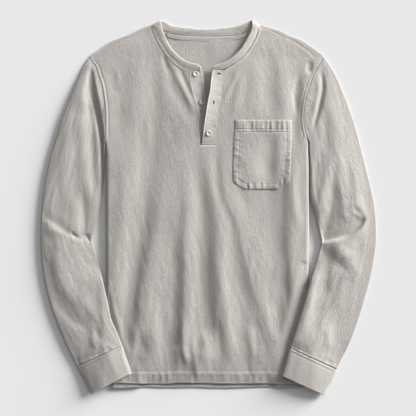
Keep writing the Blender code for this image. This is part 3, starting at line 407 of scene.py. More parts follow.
def give_wall(piece, thickness):
    """Turns a middle surface into a closed wall of cloth, half to each side."""
    wall = piece.modifiers.new("wall", "SOLIDIFY")
    wall.thickness, wall.offset, wall.use_even_offset = thickness * MM, 0.0, False


def close_ends(piece):
    """Fills the open rings at a strip's ends and turns all faces outwards."""
    shape = bmesh.new()
    shape.from_mesh(piece.data)
    bmesh.ops.holes_fill(shape, edges=[edge for edge in shape.edges if edge.is_boundary], sides=0)
    bmesh.ops.recalc_face_normals(shape, faces=shape.faces)
    shape.to_mesh(piece.data)
    shape.free()


def spaced(*marks):
    """Values from mark to mark, given as mark, step, mark, step, ..., in steps of about that size."""
    parts = [np.linspace(a, b, max(1, round(abs(b - a) / step)) + 1)[:-1]
             for a, step, b in zip(marks[:-2:2], marks[1::2], marks[2::2])]
    return np.concatenate(parts + [[marks[-1]]])


print("rows of a 20 mm hem:", len(spaced(HEM_SEAM_Y, 2, FRONT_HEM_Y)))

# %% [markdown]
# ## Finishes
# Garment dye takes a little unevenly, so the cloth has soft streaks along its length and clouds between
# them. The jersey's knit shows as fine columns of loops. Where the cloth is thick, at seams and hems,
# washing has rubbed it pale. These three effects are node groups, used by each cloth with its own values.

# %% Small helpers for nodes
def new_group(name, inputs, outputs):
    """An empty shader group with named sockets; gives the group, its inside inputs and its inside outputs."""
    group = bpy.data.node_groups.new(name, "ShaderNodeTree")
    for label, kind, value in inputs:
        socket = group.interface.new_socket(name=label, in_out="INPUT", socket_type=kind)
        if value is not None:
            socket.default_value = value
    for label, kind in outputs:
        group.interface.new_socket(name=label, in_out="OUTPUT", socket_type=kind)
    return group, group.nodes.new("NodeGroupInput").outputs, group.nodes.new("NodeGroupOutput").inputs


def put(tree, socket, value):
    """Links a socket to another node's output, or sets it to a plain value."""
    if isinstance(value, bpy.types.NodeSocket):
        tree.links.new(value, socket)
    else:
        socket.default_value = value


def math(tree, operation, *values):
    node = tree.nodes.new("ShaderNodeMath")
    node.operation = operation
    for socket, value in zip(node.inputs, values):
        put(tree, socket, value)
    return node.outputs[0]


def stretched(tree, vector, scale):
    """The vector times a scale for each axis, so that a pattern is drawn out along the cloth."""
    node = tree.nodes.new("ShaderNodeVectorMath")
    node.operation = "MULTIPLY"
    put(tree, node.inputs[0], vector)
    put(tree, node.inputs[1], scale)
    return node.outputs[0]


def cloud(tree, vector, scale, detail=2.0, rough=0.5, distortion=0.0):
    node = tree.nodes.new("ShaderNodeTexNoise")
    for label, value in (("Vector", vector), ("Scale", scale), ("Detail", detail), ("Roughness", rough),
                         ("Distortion", distortion)):
        put(tree, node.inputs[label], value)
    return node.outputs["Fac"]


def blend(tree, share, a, b):
    """A colour mixed from a to b."""
    node = tree.nodes.new("ShaderNodeMix")
    node.data_type = "RGBA"
    put(tree, node.inputs["Factor"], share)
    put(tree, node.inputs["A"], a)
    put(tree, node.inputs["B"], b)
    return node.outputs["Result"]


def spread(tree, value, low, high):
    """The value stretched so that low becomes 0 and high 1."""
    node = tree.nodes.new("ShaderNodeMapRange")
    for label, number in (("Value", value), ("From Min", low), ("From Max", high)):
        put(tree, node.inputs[label], number)
    return node.outputs["Result"]


# %% Dye, knit and rubbed seams
dye_group, given, result = new_group("uneven_dye", [("Vector", "NodeSocketVector", None)],
                                     [("Tone", "NodeSocketFloat"), ("Height", "NodeSocketFloat")])
streaks = cloud(dye_group, stretched(dye_group, given["Vector"], (1.0, 0.42, 1.0)), 180.0, 3.0, 0.55, 1.0)
slubs = cloud(dye_group, stretched(dye_group, given["Vector"], (1.0, 0.6, 1.0)), 420.0, 1.0, 0.5)
clouds = cloud(dye_group, given["Vector"], 11.0, 3.0, 0.55)
streak_tone, cloud_tone = math(dye_group, "MULTIPLY", streaks, 0.3), math(dye_group, "MULTIPLY", clouds, 0.45)
tone = math(dye_group, "ADD", streak_tone, cloud_tone)
tone = math(dye_group, "ADD", tone, math(dye_group, "MULTIPLY", slubs, 0.25))
put(dye_group, result["Tone"], spread(dye_group, tone, 0.33, 0.67))
put(dye_group, result["Height"], math(dye_group, "ADD", streaks, math(dye_group, "MULTIPLY", slubs, 0.2)))

FULL_TURN = 6.2832
knit_group, given, result = new_group(
    "jersey_knit", [("Vector", "NodeSocketVector", None), ("Wales per metre", "NodeSocketFloat", 1150.0)],
    [("Height", "NodeSocketFloat")])
parts = knit_group.nodes.new("ShaderNodeSeparateXYZ")
put(knit_group, parts.inputs[0], given["Vector"])
wale = math(knit_group, "MULTIPLY", parts.outputs["X"], given["Wales per metre"])
course = math(knit_group, "MULTIPLY", parts.outputs["Y"], given["Wales per metre"])
leg = math(knit_group, "PINGPONG", wale, 0.5)
slant = math(knit_group, "ADD", course, leg)
loop = math(knit_group, "SINE", math(knit_group, "MULTIPLY", slant, FULL_TURN * 1.3))
column = math(knit_group, "SINE", math(knit_group, "MULTIPLY", leg, FULL_TURN))
put(knit_group, result["Height"], math(knit_group, "ADD", math(knit_group, "MULTIPLY", loop, 0.35), column))

rub_group, given, result = new_group(
    "rubbed_edges", [("Vector", "NodeSocketVector", None), ("Mark", "NodeSocketFloat", 0.0)],
    [("Mask", "NodeSocketFloat")])
patches = spread(rub_group, cloud(rub_group, given["Vector"], 160.0, 3.0, 0.6), 0.3, 0.7)
even = math(rub_group, "ADD", 0.55, math(rub_group, "MULTIPLY", patches, 0.6))
mask = math(rub_group, "MULTIPLY", given["Mark"], even)
mask.node.use_clamp = True
put(rub_group, result["Mask"], mask)
print("shared effects:", ", ".join(group.name for group in bpy.data.node_groups))

# %% [markdown]
# ## Cloth, thread, shell
# The Principled shader stands in each material itself. Cotton is rough all over, with a faint sheen from its
# loose fibres. The buttons are a pale shell with a soft polish.

# %% The materials
def add_group(tree, group, vector, **values):
    node = tree.nodes.new("ShaderNodeGroup")
    node.node_tree = group
    put(tree, node.inputs["Vector"], vector)
    for label, value in values.items():
        put(tree, node.inputs[label.replace("_", " ")], value)
    return node.outputs


def new_material(name):
    made = bpy.data.materials.new(name)
    made.use_nodes = True
    return made, made.node_tree, made.node_tree.nodes["Principled BSDF"].inputs


def cloth_material(name, dark, light, rubbed, rub, wales, relief):
    """Dyed knit: dark to light by the dye's tone, then towards the rubbed colour by the seam's mark."""
    made, tree, shader = new_material(name)
    cloth = tree.nodes.new("ShaderNodeUVMap")
    cloth.uv_map = "cloth"
    mark = tree.nodes.new("ShaderNodeAttribute")
    mark.attribute_name = "worn"
    vector = cloth.outputs["UV"]
    dye = add_group(tree, dye_group, vector)
    knit = add_group(tree, knit_group, vector, Wales_per_metre=wales)
    mask = add_group(tree, rub_group, vector, Mark=mark.outputs["Fac"])["Mask"]
    colour = blend(tree, dye["Tone"], (*dark, 1), (*light, 1))
    put(tree, shader["Base Color"], blend(tree, math(tree, "MULTIPLY", mask, rub), colour, (*rubbed, 1)))
    put(tree, shader["Roughness"], math(tree, "ADD", 0.84, math(tree, "MULTIPLY", dye["Tone"], 0.1)))
    height = math(tree, "ADD", math(tree, "MULTIPLY", knit["Height"], 0.12), dye["Height"])
    bump = tree.nodes.new("ShaderNodeBump")
    bump.inputs["Strength"].default_value = relief
    bump.inputs["Distance"].default_value = 0.0015
    put(tree, bump.inputs["Height"], height)
    put(tree, shader["Normal"], bump.outputs["Normal"])
    shader["Sheen Weight"].default_value = 0.08
    shader["Sheen Roughness"].default_value = 0.6
    shader["Specular IOR Level"].default_value = 0.2
    return made


DARK, LIGHT, RUBBED = (0.376, 0.349, 0.328), (0.472, 0.441, 0.416), (0.66, 0.63, 0.60)
jersey = cloth_material("jersey", DARK, LIGHT, RUBBED, 0.55, 1150.0, 0.68)
doubled = cloth_material("doubled_jersey", DARK, LIGHT, RUBBED, 0.6, 1150.0, 0.5)
TAPE_DARK, TAPE_LIGHT, TAPE_RUBBED = (0.36, 0.338, 0.317), (0.42, 0.397, 0.375), (0.55, 0.53, 0.50)
tape_weave = cloth_material("neck_tape", TAPE_DARK, TAPE_LIGHT, TAPE_RUBBED, 0.4, 1500.0, 0.5)

thread, tree, shader = new_material("sewing_thread")
place = tree.nodes.new("ShaderNodeTexCoord").outputs["Object"]
twist = cloud(tree, place, 900.0)
put(tree, shader["Base Color"], blend(tree, twist, (0.47, 0.45, 0.42, 1), (0.60, 0.58, 0.55, 1)))
shader["Roughness"].default_value = 0.75

shell, tree, shader = new_material("button_shell")
place = tree.nodes.new("ShaderNodeTexCoord").outputs["Object"]
grown = cloud(tree, stretched(tree, place, (1.0, 0.45, 1.0)), 420.0, 3.0, 0.55, 1.5)
put(tree, shader["Base Color"], blend(tree, grown, (0.44, 0.40, 0.355, 1), (0.60, 0.565, 0.52, 1)))
put(tree, shader["Roughness"], math(tree, "ADD", 0.26, math(tree, "MULTIPLY", grown, 0.16)))
shader["Coat Weight"].default_value = 0.25
print("materials:", ", ".join(made.name for made in (jersey, doubled, tape_weave, thread, shell)))


# %% A piece's place in the frame
def place_piece(piece, node, slot, material):
    """Gives a piece its finish, lets it ride on the one body, and hides the solid that it stands for."""
    piece.data.materials.append(material)
    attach(piece, "root")
    if node:
        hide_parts(node)

# %% [markdown]
# ## The lie of the front
# The front panel decides the height of all that is sewn to it, so its height is one function of x and y
# that the pocket, the plackets and the neckband share. It starts from a level, adds the folds, falls away
# to the shoulder seams, and is pressed down where a forearm lies on it. Along each seam the layers
# underneath leave a ridge, with the line of stitches as a groove beside it.

# %% The lie of the front
NECK_SEAM = (
    (-15, 273), (-27, 273), (-38, 274), (-48, 277.5), (-58, 284), (-68, 292), (-78, 302), (-88, 316),
     (-98, 334),
    (-105, 350), (-109, 361), (-111, 366.5), (-105, 362.5), (-91, 355), (-77, 349), (-57, 345), (-28,
     342.6),
    (0, 342), (27, 342.6), (52, 345), (69, 349), (83, 355), (95, 361), (101.5, 364.5), (100, 357), (97,
     346),
    (91, 332), (83, 319), (73, 305), (61, 293.5), (49, 286), (37, 278.5), (25, 274.5), (11, 273.5),
)
NECK_RIGHT_PATH = np.array(NECK_SEAM[:12], float)
NECK_LEFT_PATH = np.array(NECK_SEAM[23:], float)


def stitched_margin(distance, width, ridge, groove):
    """A seam's margin: a ridge as wide as the turned edge under it, then a groove where it is stitched."""
    return (ridge * ease((width - distance) / 2.0 + 0.5) * ease(distance / 1.5 + 0.3)
            - groove * near(distance - width, 1.3))


def from_neck_seam(x, y):
    """The distance from the part of the neck seam that is on the front."""
    return np.minimum(from_path(x, y, NECK_RIGHT_PATH)[0], from_path(x, y, NECK_LEFT_PATH)[0])


def shoulder_distance(x, y):
    """How far a point lies inside the nearer shoulder seam, about square to it."""
    right = np.maximum(x - along(SHOULDER_RIGHT, y), 0) * 0.42
    left = np.maximum(along(SHOULDER_LEFT, y) - x, 0) * 0.46
    return np.minimum(right, left) + np.maximum(300 - y, 0.0)


def pressed(x, y):
    """1 where a forearm lies on the body, easing to 0 around it."""
    right = ease((-x - along(FOREARM_EDGE_RIGHT, y) + 14) / 14)
    left = ease((x - along(FOREARM_EDGE_LEFT, y) + 34) / 34)
    return np.where(y < -110, np.where(x < 0, right, left), 0.0)


def front_height(x, y, creases=1.0):
    """The middle of the front's wall over the surface, in mm."""
    x, y = np.broadcast_arrays(np.asarray(x, float), np.asarray(y, float))
    inside = np.minimum(outer_edge(y, 1) - x, x - outer_edge(y, -1))
    side = ease((TUCK + RAMP + 10 - inside) / 24) * ease((ARMHOLE_END_Y + 10 - y) / 60)
    level = FRONT_LEVEL + (SIDE_LEVEL - FRONT_LEVEL) * side
    lowest = FRONT_LOWEST + (SIDE_LOWEST - FRONT_LOWEST) * side
    level = level - HEM_FALL * (1 - ease((y - FRONT_HEM_Y) / HEM_FALL_WAY))
    level = level - NECK_FALL * ease((y - NECK_FALL_Y) / NECK_FALL_WAY)
    level = np.minimum(level, SHOULDER_EDGE + SHOULDER_RISE * shoulder_distance(x, y))
    lowest = lowest - ARMHOLE_DROP * ease((y - 220) / 60) * ease((np.abs(x) - 100) / 40)
    height = level + folded(x, y, BODY_FOLDS) + creases * washed(x, y) * (0.6 + 0.6 * ease((60 - y) / 200))
    height = softly_above(height, lowest)
    height += (np.minimum(height, np.maximum(PRESSED_LEVEL, lowest)) - height) * pressed(x, y)
    height = SHOULDER_EDGE + (height - SHOULDER_EDGE) * ease(shoulder_distance(x, y) / SHOULDER_FALL)
    height += stitched_margin(from_neck_seam(x, y), 6.0, 0.5, 0.5) * (y > 271)
    armhole = np.where((y > ARMHOLE_END_Y) & (y < 296), inside, 99.0)
    height += stitched_margin(armhole, 5.5, 0.12, 0.7)
    height -= 0.5 * near(shoulder_distance(x, y) - 8, 1.5) * (y > 298)
    hem = np.clip((HEM_SEAM_Y - y) / (HEM_SEAM_Y - FRONT_HEM_Y), 0, 1)
    pucker = noise(x, y, 6.5, 30, 21) + 0.6 * noise(x, y, 3.8, 24, 22)
    height += 0.6 * pucker * np.sin(np.pi * np.clip(hem * 0.8 + 0.1, 0, 1)) * (hem > 0)
    turn_down = (HEM_TURN + HEM_UNEVEN * noise(x, y, 34, 300, 23)) * hem * (1 - side)
    height -= 0.7 * near(y - HEM_SEAM_Y, 1.4) + turn_down
    return height


across = np.linspace(-190, 190, 5)
print("height across the chest, mm:", np.round(front_height(across, np.full(5, 100.0)), 1))

# %% [markdown]
# ## The front panel
# The front is one width of jersey with a slit for the placket. The shirt is wider than it lies, so each
# side rolls over its edge and is tucked under. A row of the grid therefore runs from one side seam, round
# the roll, across the top and round the other roll. Solidify then gives the cloth its thickness.

# %% The front panel
def side_path(y, side, steps):
    """The front's way round its side: half an ellipse down to the surface, then straight in to the seam."""
    share = np.clip((ARMHOLE_END_Y - y) / (ARMHOLE_END_Y - UNDERARM_Y), 0.0, 1.0)[:, None]
    edge = outer_edge(y, side)[:, None]
    roll = ROLL * np.minimum(1.0, share * 2)
    top_x = edge - side * (roll + JERSEY / 2 * np.minimum(1.0, share * 2))
    top = front_height(top_x, y[:, None])
    way = share * np.arange(1, steps + 1) / steps
    turn = np.pi * (0.5 - np.minimum(way * 2, 1.0))
    middle, half = (top + ON_SURFACE) / 2, (top - ON_SURFACE) / 2
    x = top_x + side * roll * np.cos(turn)
    x = np.where(way > 0.5, top_x + (edge - side * TUCK - top_x) * (way * 2 - 1), x)
    z = np.where(way > 0.5, ON_SURFACE, middle + half * np.sin(turn))
    return top_x, x, z


FRONT_ROWS = spaced(364, 2.0, 296, 3.3, SLIT_END_Y, 4.0, HEM_SEAM_Y, 2.0, FRONT_HEM_Y)
SIDE_STEPS, HALF_STEPS, SLIT_STEPS = 20, 80, 8
# The columns of a half are denser by the armhole, and the last one, by the slit, is thin
DENSE_STEPS, DENSE_SHARE, THIN_FROM = 14, 0.08, 0.997

rows_y = FRONT_ROWS
right_top, right_x, right_z = side_path(rows_y, -1, SIDE_STEPS)
left_top, left_x, left_z = side_path(rows_y, 1, SIDE_STEPS)
inner_right, inner_left = along(NECKLINE_RIGHT, rows_y)[:, None], along(NECKLINE_LEFT, rows_y)[:, None]
part = np.concatenate([np.linspace(0, DENSE_SHARE, DENSE_STEPS + 1)[:-1],
                       np.linspace(DENSE_SHARE, THIN_FROM, HALF_STEPS - DENSE_STEPS), [1.0]])
top_x = np.concatenate([right_top + (inner_right - right_top) * part,
                        inner_right + (inner_left - inner_right) * np.linspace(0, 1, SLIT_STEPS + 1)[1:-1],
                        left_top + (inner_left - left_top) * part[::-1]], axis=1)
top_z = front_height(top_x, rows_y[:, None])
front_x = np.concatenate([right_x[:, ::-1], top_x, left_x], axis=1)
front_z = np.concatenate([right_z[:, ::-1], top_z, left_z], axis=1)
front_y = np.broadcast_to(rows_y[:, None], front_x.shape)
hem_wave = 1.8 * noise(front_x, front_y, 40, 900, 31) * ease((-300 - front_y) / 50)
front_points = np.stack([front_x, front_y + hem_wave, front_z], axis=-1)

keep = np.ones((len(rows_y) - 1, front_x.shape[1] - 1), bool)
slit_start = SIDE_STEPS + HALF_STEPS
keep[rows_y[:-1] > SLIT_END_Y + 0.1, slit_start : slit_start + SLIT_STEPS] = False
above = rows_y[:-1] > ARMHOLE_END_Y + 0.1
keep[above, :SIDE_STEPS] = False
keep[above, -SIDE_STEPS:] = False

neck_away = from_neck_seam(front_x, front_y)
armhole_away = np.minimum(outer_edge(rows_y, 1)[:, None] - front_x, front_x - outer_edge(rows_y, -1)[:, None])
armhole_away = np.where(front_y > ARMHOLE_END_Y - 10, armhole_away, 99)
worn = near(neck_away, 5) * (front_y > 270)
worn = np.maximum(worn, 0.5 * near(armhole_away - 3, 3.5))
worn = np.maximum(worn, near(front_y - HEM_SEAM_Y, 2.5))
worn = np.maximum(worn, near(front_y - FRONT_HEM_Y, 3.0))
front_uv = np.stack([front_x, front_y], -1) * MM
front = grid_piece("front_cloth", front_points, front_uv, {"worn": worn}, keep=keep)
give_wall(front, JERSEY)
print("front_cloth:", len(front.data.polygons), "faces")
place_piece(front, "front", "jersey", jersey)

# %% [markdown]
# ## The chest pocket
# A patch pocket is one layer on the front, so it is made of the front's own heights, raised by the seam
# gap. Its outline has straight sides and cut corners; its top is turned over in a hem. Inside the stitching
# it lies a little loose, and the stitches pull its margins into puckers.

# %% The chest pocket
POCKET_TOP, POCKET_FOOT, POCKET_HEM, POCKET_STITCH = 174.0, 36.0, 22.0, 9.5
POCKET_INNER = ((174, 53), (134, 51), (94, 49.5), (60, 49), (53, 49.5), (49, 53), (43, 61), (38.5, 69),
                (36, 74))
POCKET_OUTER = ((174, 166), (134, 165), (94, 164), (60, 162.5), (53, 162), (49, 158), (43, 150), (38.5, 143),
                (36, 138))
pocket_y = spaced(POCKET_TOP, 1.1, POCKET_FOOT)
inner_x, outer_x = along(POCKET_INNER, pocket_y)[:, None], along(POCKET_OUTER, pocket_y)[:, None]
part = np.linspace(0, 1, 101)
pocket_x = inner_x + (outer_x - inner_x) * part
pocket_y = np.broadcast_to(pocket_y[:, None], pocket_x.shape)
down_y, up_y = np.linspace(POCKET_TOP, POCKET_FOOT, 60), np.linspace(POCKET_FOOT, POCKET_TOP, 60)
outline = np.concatenate([np.column_stack([along(POCKET_INNER, down_y), down_y]),
                          np.column_stack([along(POCKET_OUTER, up_y), up_y])])
edge_away = from_path(pocket_x, pocket_y, outline)[0]
top_away = POCKET_TOP - pocket_y
at_foot = ease((POCKET_FOOT + 30 - pocket_y) / 16)
pucker = noise(pocket_x, pocket_y, 12, 4.5, 41) * (1 - at_foot)
pucker += 1.5 * noise(pocket_x, pocket_y, 4.5, 20, 42) * at_foot
lift = 0.8 * ease(edge_away / 14) + 0.9 * pucker * near(edge_away - 6, 7) * (top_away > POCKET_HEM)
lift += 0.35 * noise(pocket_x, pocket_y, 16, 40, 43) * ease(edge_away / 10)
lift += 0.5 * ease((POCKET_HEM - top_away) / 2.0 + 0.5)
lift -= 0.7 * near(top_away - POCKET_HEM + 3.2, 1.2) + 0.7 * near(top_away - POCKET_HEM - 2.2, 1.2)
lift += 0.9 * noise(pocket_x, pocket_y, 4.6, 50, 44) * np.exp(-(((top_away - 12) / 10) ** 4))
lift -= 0.35 * near(edge_away - POCKET_STITCH, 1.3) * (top_away > 3)
lift = np.maximum(lift, -0.2) - 0.4 * ease(1 - edge_away / 2.5)
pocket_z = front_height(pocket_x, pocket_y, 0.7) + JERSEY + 0.1 + lift
pocket_points = np.stack([pocket_x, pocket_y, pocket_z], -1)
worn = np.maximum(0.25 * near(edge_away, 2.2), 0.8 * near(top_away, 3.0))
worn = np.maximum(worn, 0.5 * near(edge_away - POCKET_STITCH, 1.5))
worn = np.maximum(worn, 0.9 * near(top_away - POCKET_HEM, 1.8))
pocket = grid_piece("pocket_patch", pocket_points, pocket_points[..., :2] * MM + 1.0, {"worn": worn})
give_wall(pocket, JERSEY)
place_piece(pocket, "pocket", "jersey", jersey)
print("pocket_patch:", len(pocket.data.polygons), "faces")

# %% [markdown]
# ## The back panel
# The back lies on the surface. Its sides come up over the front's tucked edge and fold back under it. Only
# the inside of the neck and a strip below the front's hem can be seen from above, but it is a whole panel.

# %% The back panel
BACK_UPPER, BACK_TUCKED = 4.4, ON_SURFACE + JERSEY + SEAM + 0.2
rows_y = spaced(364, 3.0, 270, 8.0, BACK_HEM_SEAM_Y, 2.0, BACK_HEM_Y)
share = np.clip((ARMHOLE_END_Y - rows_y) / (ARMHOLE_END_Y - UNDERARM_Y), 0.0, 1.0)
rise = ease(share * 3)
upper = ON_SURFACE + (BACK_UPPER - ON_SURFACE) * rise
under = ON_SURFACE + (BACK_TUCKED - ON_SURFACE) * rise


def spread_between(a, b, steps):
    """Columns from a to b for every row, the last one left out."""
    return a[:, None] + (b - a)[:, None] * np.arange(steps) / steps


def back_half(side, neck):
    """The back from the neck out: flat, up a ramp, level to the fold, round it and in to the side seam."""
    edge, inner = outer_edge(rows_y, side), along(neck, rows_y)
    down = share > 0
    hairpin = edge - side * HAIRPIN * np.minimum(1.0, share * 4)
    foot = np.where(down, edge - side * (TUCK + RAMP), inner + (edge - inner) * 0.45)
    crest = np.where(down, edge - side * (TUCK + 1.5), inner + (edge - inner) * 0.65)
    turn = hairpin - side * 1.2 * down
    tuck = edge - side * (HAIRPIN + 4 + (TUCK - HAIRPIN - 4) * ease((share - 0.3) / 0.7))
    level = np.full(len(rows_y), ON_SURFACE)
    x = [spread_between(inner, foot, 26), spread_between(foot, crest, 6), spread_between(crest, turn, 12),
         spread_between(turn, hairpin, 2), spread_between(hairpin, turn, 2), spread_between(turn, tuck, 10),
         tuck[:, None]]
    z = [spread_between(level, level, 26), level[:, None] + (upper - level)[:, None] * ease(np.arange(6) / 6),
         spread_between(upper, upper, 12), spread_between(upper, (upper + under) / 2, 2),
         spread_between((upper + under) / 2, under, 2), spread_between(under, under, 10), under[:, None]]
    return np.concatenate(x, axis=1), np.concatenate(z, axis=1)


(right_x, right_z), (left_x, left_z) = back_half(-1, BACK_NECK_RIGHT), back_half(1, BACK_NECK_LEFT)
middle_x = spread_between(right_x[:, 0], left_x[:, 0], 24)[:, 1:]
back_x = np.concatenate([right_x[:, ::-1], middle_x, left_x], axis=1)
back_z = np.concatenate([right_z[:, ::-1], np.full(middle_x.shape, ON_SURFACE), left_z], axis=1)
back_y = np.broadcast_to(rows_y[:, None], back_x.shape).copy()
half = right_x.shape[1]
middle = slice(half - 1, half + middle_x.shape[1] + 1)
dip = np.clip((back_y[:, middle] - 340) / 4, 0, 1) * (back_y[:, middle] < 346)
back_y[:, middle] -= 2.0 * dip * np.sin(np.linspace(0, np.pi, dip.shape[1]))
rumple = 0.55 * noise(back_x, back_y, 16, 60, 51) + 0.5 * noise(back_x + 0.5 * back_y, back_y, 34, 40, 52)
loose = ease((back_y - 150) / 60) * ease((70 - np.abs(back_x + 2)) / 30)
back_z = back_z + (1.0 + rumple) * 0.9 * loose * ease((346 - back_y) / 14)
hem_loose = ease((BACK_HEM_SEAM_Y + 6 - back_y) / 10) * (np.abs(back_x) < 130)
back_z += (0.3 + 0.4 * noise(back_x, back_y, 24, 90, 53)) * hem_loose
hem_wave = 2.4 * noise(back_x, back_y, 50, 900, 54) * ease((-310 - back_y) / 40)
back_points = np.stack([back_x, back_y + hem_wave, back_z], axis=-1)
keep = np.ones((len(rows_y) - 1, back_x.shape[1] - 1), bool)
keep[rows_y[:-1] > 344.5, half - 1 : half + middle_x.shape[1]] = False
turned, above = 14, rows_y[:-1] > ARMHOLE_END_Y + 0.1
keep[above, :turned] = False
keep[above, -turned:] = False
worn = np.maximum(near(back_y - BACK_HEM_SEAM_Y, 2.5), near(back_y - BACK_HEM_Y, 2.5))
back_uv = np.stack([back_x, back_y], -1) * MM + 2.0
back = grid_piece("back_cloth", back_points, back_uv, {"worn": worn}, keep=keep)
give_wall(back, JERSEY)
place_piece(back, "back", "jersey", jersey)
print("back_cloth:", len(back.data.polygons), "faces")

# %% [markdown]
# ## The sleeves
# A sleeve is a tube of jersey that lies flattened. Each ring of the grid crosses it from its inner to its
# outer edge over the top and comes back underneath. The ring's height is a low crown plus the folds; its
# edges are rounded, as cloth turns there with no crease. At the top the rings are drawn on to the armhole's
# seam.

# %% The sleeves
SLEEVE_RIGHT = (
    (-236, 300, -206, 139), (-246, 287, -208, 118), (-257, 263, -208.5, 96), (-269, 234, -209, 74),
    (-281, 204, -210, 54), (-293, 174, -212, 34), (-304, 138, -214.5, 14), (-314, 104, -218, -8),
    (-322, 70, -223, -28), (-327, 42, -228, -46), (-329.5, 24, -231.5, -57), (-331, 10, -234, -66),
    (-332.5, -5, -233, -72), (-334, -26, -231, -80), (-335, -58, -227, -92), (-333.5, -94, -221, -112),
    (-329, -134, -213, -140), (-319, -180, -203, -182), (-306, -220, -195, -222), (-288, -264, -184, -248),
    (-262, -318, -173, -276),
)
SLEEVE_LEFT = (
    (229, 300, 195.5, 140), (241, 284, 202.5, 124), (253, 264, 202.3, 90), (265, 238, 202.6, 68),
    (277, 208, 202.6, 46), (288, 176, 202.8, 26), (298, 142, 205, 10), (308, 104, 210, -8),
    (317, 68, 215, -26), (324, 38, 219, -42), (328, 20, 222, -54), (331, 6, 225, -68),
    (333, -10, 224, -76), (334.5, -32, 222, -84), (335, -62, 218, -98), (331, -100, 211, -120),
    (324, -138, 202, -150), (313, -178, 191, -190), (300, -222, 180, -226), (283, -268, 170.5, -256),
    (255, -324, 163, -280),
)
CLIMB_START, CLIMB_END = 58.0, 6.0
LEAST_HEIGHT, CUFF_EASE = 1.6, 34.0
# How a tube lies: its height, the inner edge's height and the way up from it, then the outer edge's
LIE_RIGHT, LIE_LEFT = (9.0, 3.4, 46.0, 6.5, 26.0), (10.8, 8.0, 12.0, 2.0, 90.0)
CUFF_LIE_RIGHT, CUFF_LIE_LEFT = (7.4, 2.8, 34.0, 4.6, 20.0), (8.4, 6.2, 40.0, 3.8, 70.0)


def sleeve_base(x, y, side, layer):
    """The height of a sleeve's lower wall: on the surface, climbing on to the body under the forearm."""
    inside = side * (outer_edge(y, side) - x)
    climb = np.clip((inside + CLIMB_START) / (CLIMB_START - CLIMB_END), 0, 1)
    over = (0.6 * climb + 0.4 * ease(climb)) * ease((-110 - y) / 40)
    return layer / 2 + (OVER_BODY - JERSEY / 2) * over


def risen(away, edge_height, way, height):
    """From the edge's height to the crown's over the given way, by a quarter of a sine."""
    return edge_height + (height - edge_height) * np.sin(np.pi / 2 * np.clip(away / way, 0, 1))


def crown_of(across, width, lie):
    """The height of a tube's upper wall above its base, so far in from the inner edge."""
    height, inner_edge, inner_way, outer_edge_height, outer_way = lie
    return np.minimum(risen(across, inner_edge, inner_way, height),
                      risen(width - across, outer_edge_height, outer_way, height))


def flat_tube(table, steps, around, side, layer, lie, folds, start, crumple=1.0, end_lie=None):
    """Rings of a tube that lies flat: across by (1 - cos t) / 2, up by a crown that each edge lies down
    from in its own way, and rounded at both edges by a quarter circle. A tube with folds is a sleeve: its
    first ring lies beside the armhole, at the front's height there. Gives points, uv, the distance down,
    the distance from the nearer edge, and which points are on the upper side."""
    rows = np.array(table, float)
    middle = (rows[:, :2] + rows[:, 2:]) / 2
    length = np.append(0, np.cumsum(np.linalg.norm(np.diff(middle, axis=0), axis=1)))
    down = np.linspace(0, length[-1], steps)
    edges = np.stack([smooth(length, rows[:, k], down) for k in range(4)], axis=1)
    outer, inner = edges[:, None, :2], edges[:, None, 2:]
    turn = np.linspace(0, 2 * np.pi, around, endpoint=False)
    share = np.broadcast_to((1 - np.cos(turn)) / 2, (steps, around))
    width = np.linalg.norm(outer - inner, axis=-1)
    line = inner + (outer - inner) * share[..., None]
    seam_y = line[0, :, 1][None, :]
    if folds:
        held = (1 - ease(np.interp(down, length, np.arange(len(rows))) / 3))[:, None]
        seam = np.stack([outer_edge(seam_y, side) + side * (SEAM + 0.25), seam_y], axis=-1)
        line = line + (seam - line[:1]) * held[..., None]
    x, y = line[..., 0], line[..., 1]
    base = sleeve_base(x, y, side, layer)
    edge_away = width * np.minimum(share, 1 - share)
    crown = crown_of(width * share, width, lie)
    if end_lie:
        near_end = ease(1 - (length[-1] - down[:, None]) / CUFF_EASE)
        crown = crown + (crown_of(width * share, width, end_lie) + 0.8 - crown) * near_end
    rows_down = np.broadcast_to(down[:, None], x.shape)
    crease = crumple * washed(share * width, rows_down, start)
    top = base + crown
    if folds:
        at_seam = front_height(outer_edge(seam_y, side), seam_y, 0.5)
        top = top + (at_seam - top) * (1 - ease(rows_down / 90))
    top = top + (folded(x, y, folds) + crease) * ease(edge_away / 9)
    least = base + LEAST_HEIGHT + layer - JERSEY
    top = softly_above(top, least)
    if folds:
        top = top + (at_seam - top) * (1 - ease(rows_down / 10)) - 0.5 * near(rows_down, 2.5)
    edge_radius = 0.3 * np.where(share < 0.5, lie[1], lie[3])
    round_edge = np.sqrt(1 - (1 - np.clip(edge_away / edge_radius, 0, 1)) ** 2)
    middle_z = base + 0.5 * np.minimum(top - base, 2 * edge_radius)
    upper = turn[None, :] < np.pi
    z = middle_z + (np.where(upper, top, base) - middle_z) * round_edge
    round_u = np.where(upper, share, 2 - share) * width
    u = np.column_stack([round_u, 2 * width]) * MM
    v = np.broadcast_to(-down[:, None] * MM, u.shape)
    return np.stack([x, y, z], -1), np.stack([u, v], -1) + start, rows_down, edge_away, upper


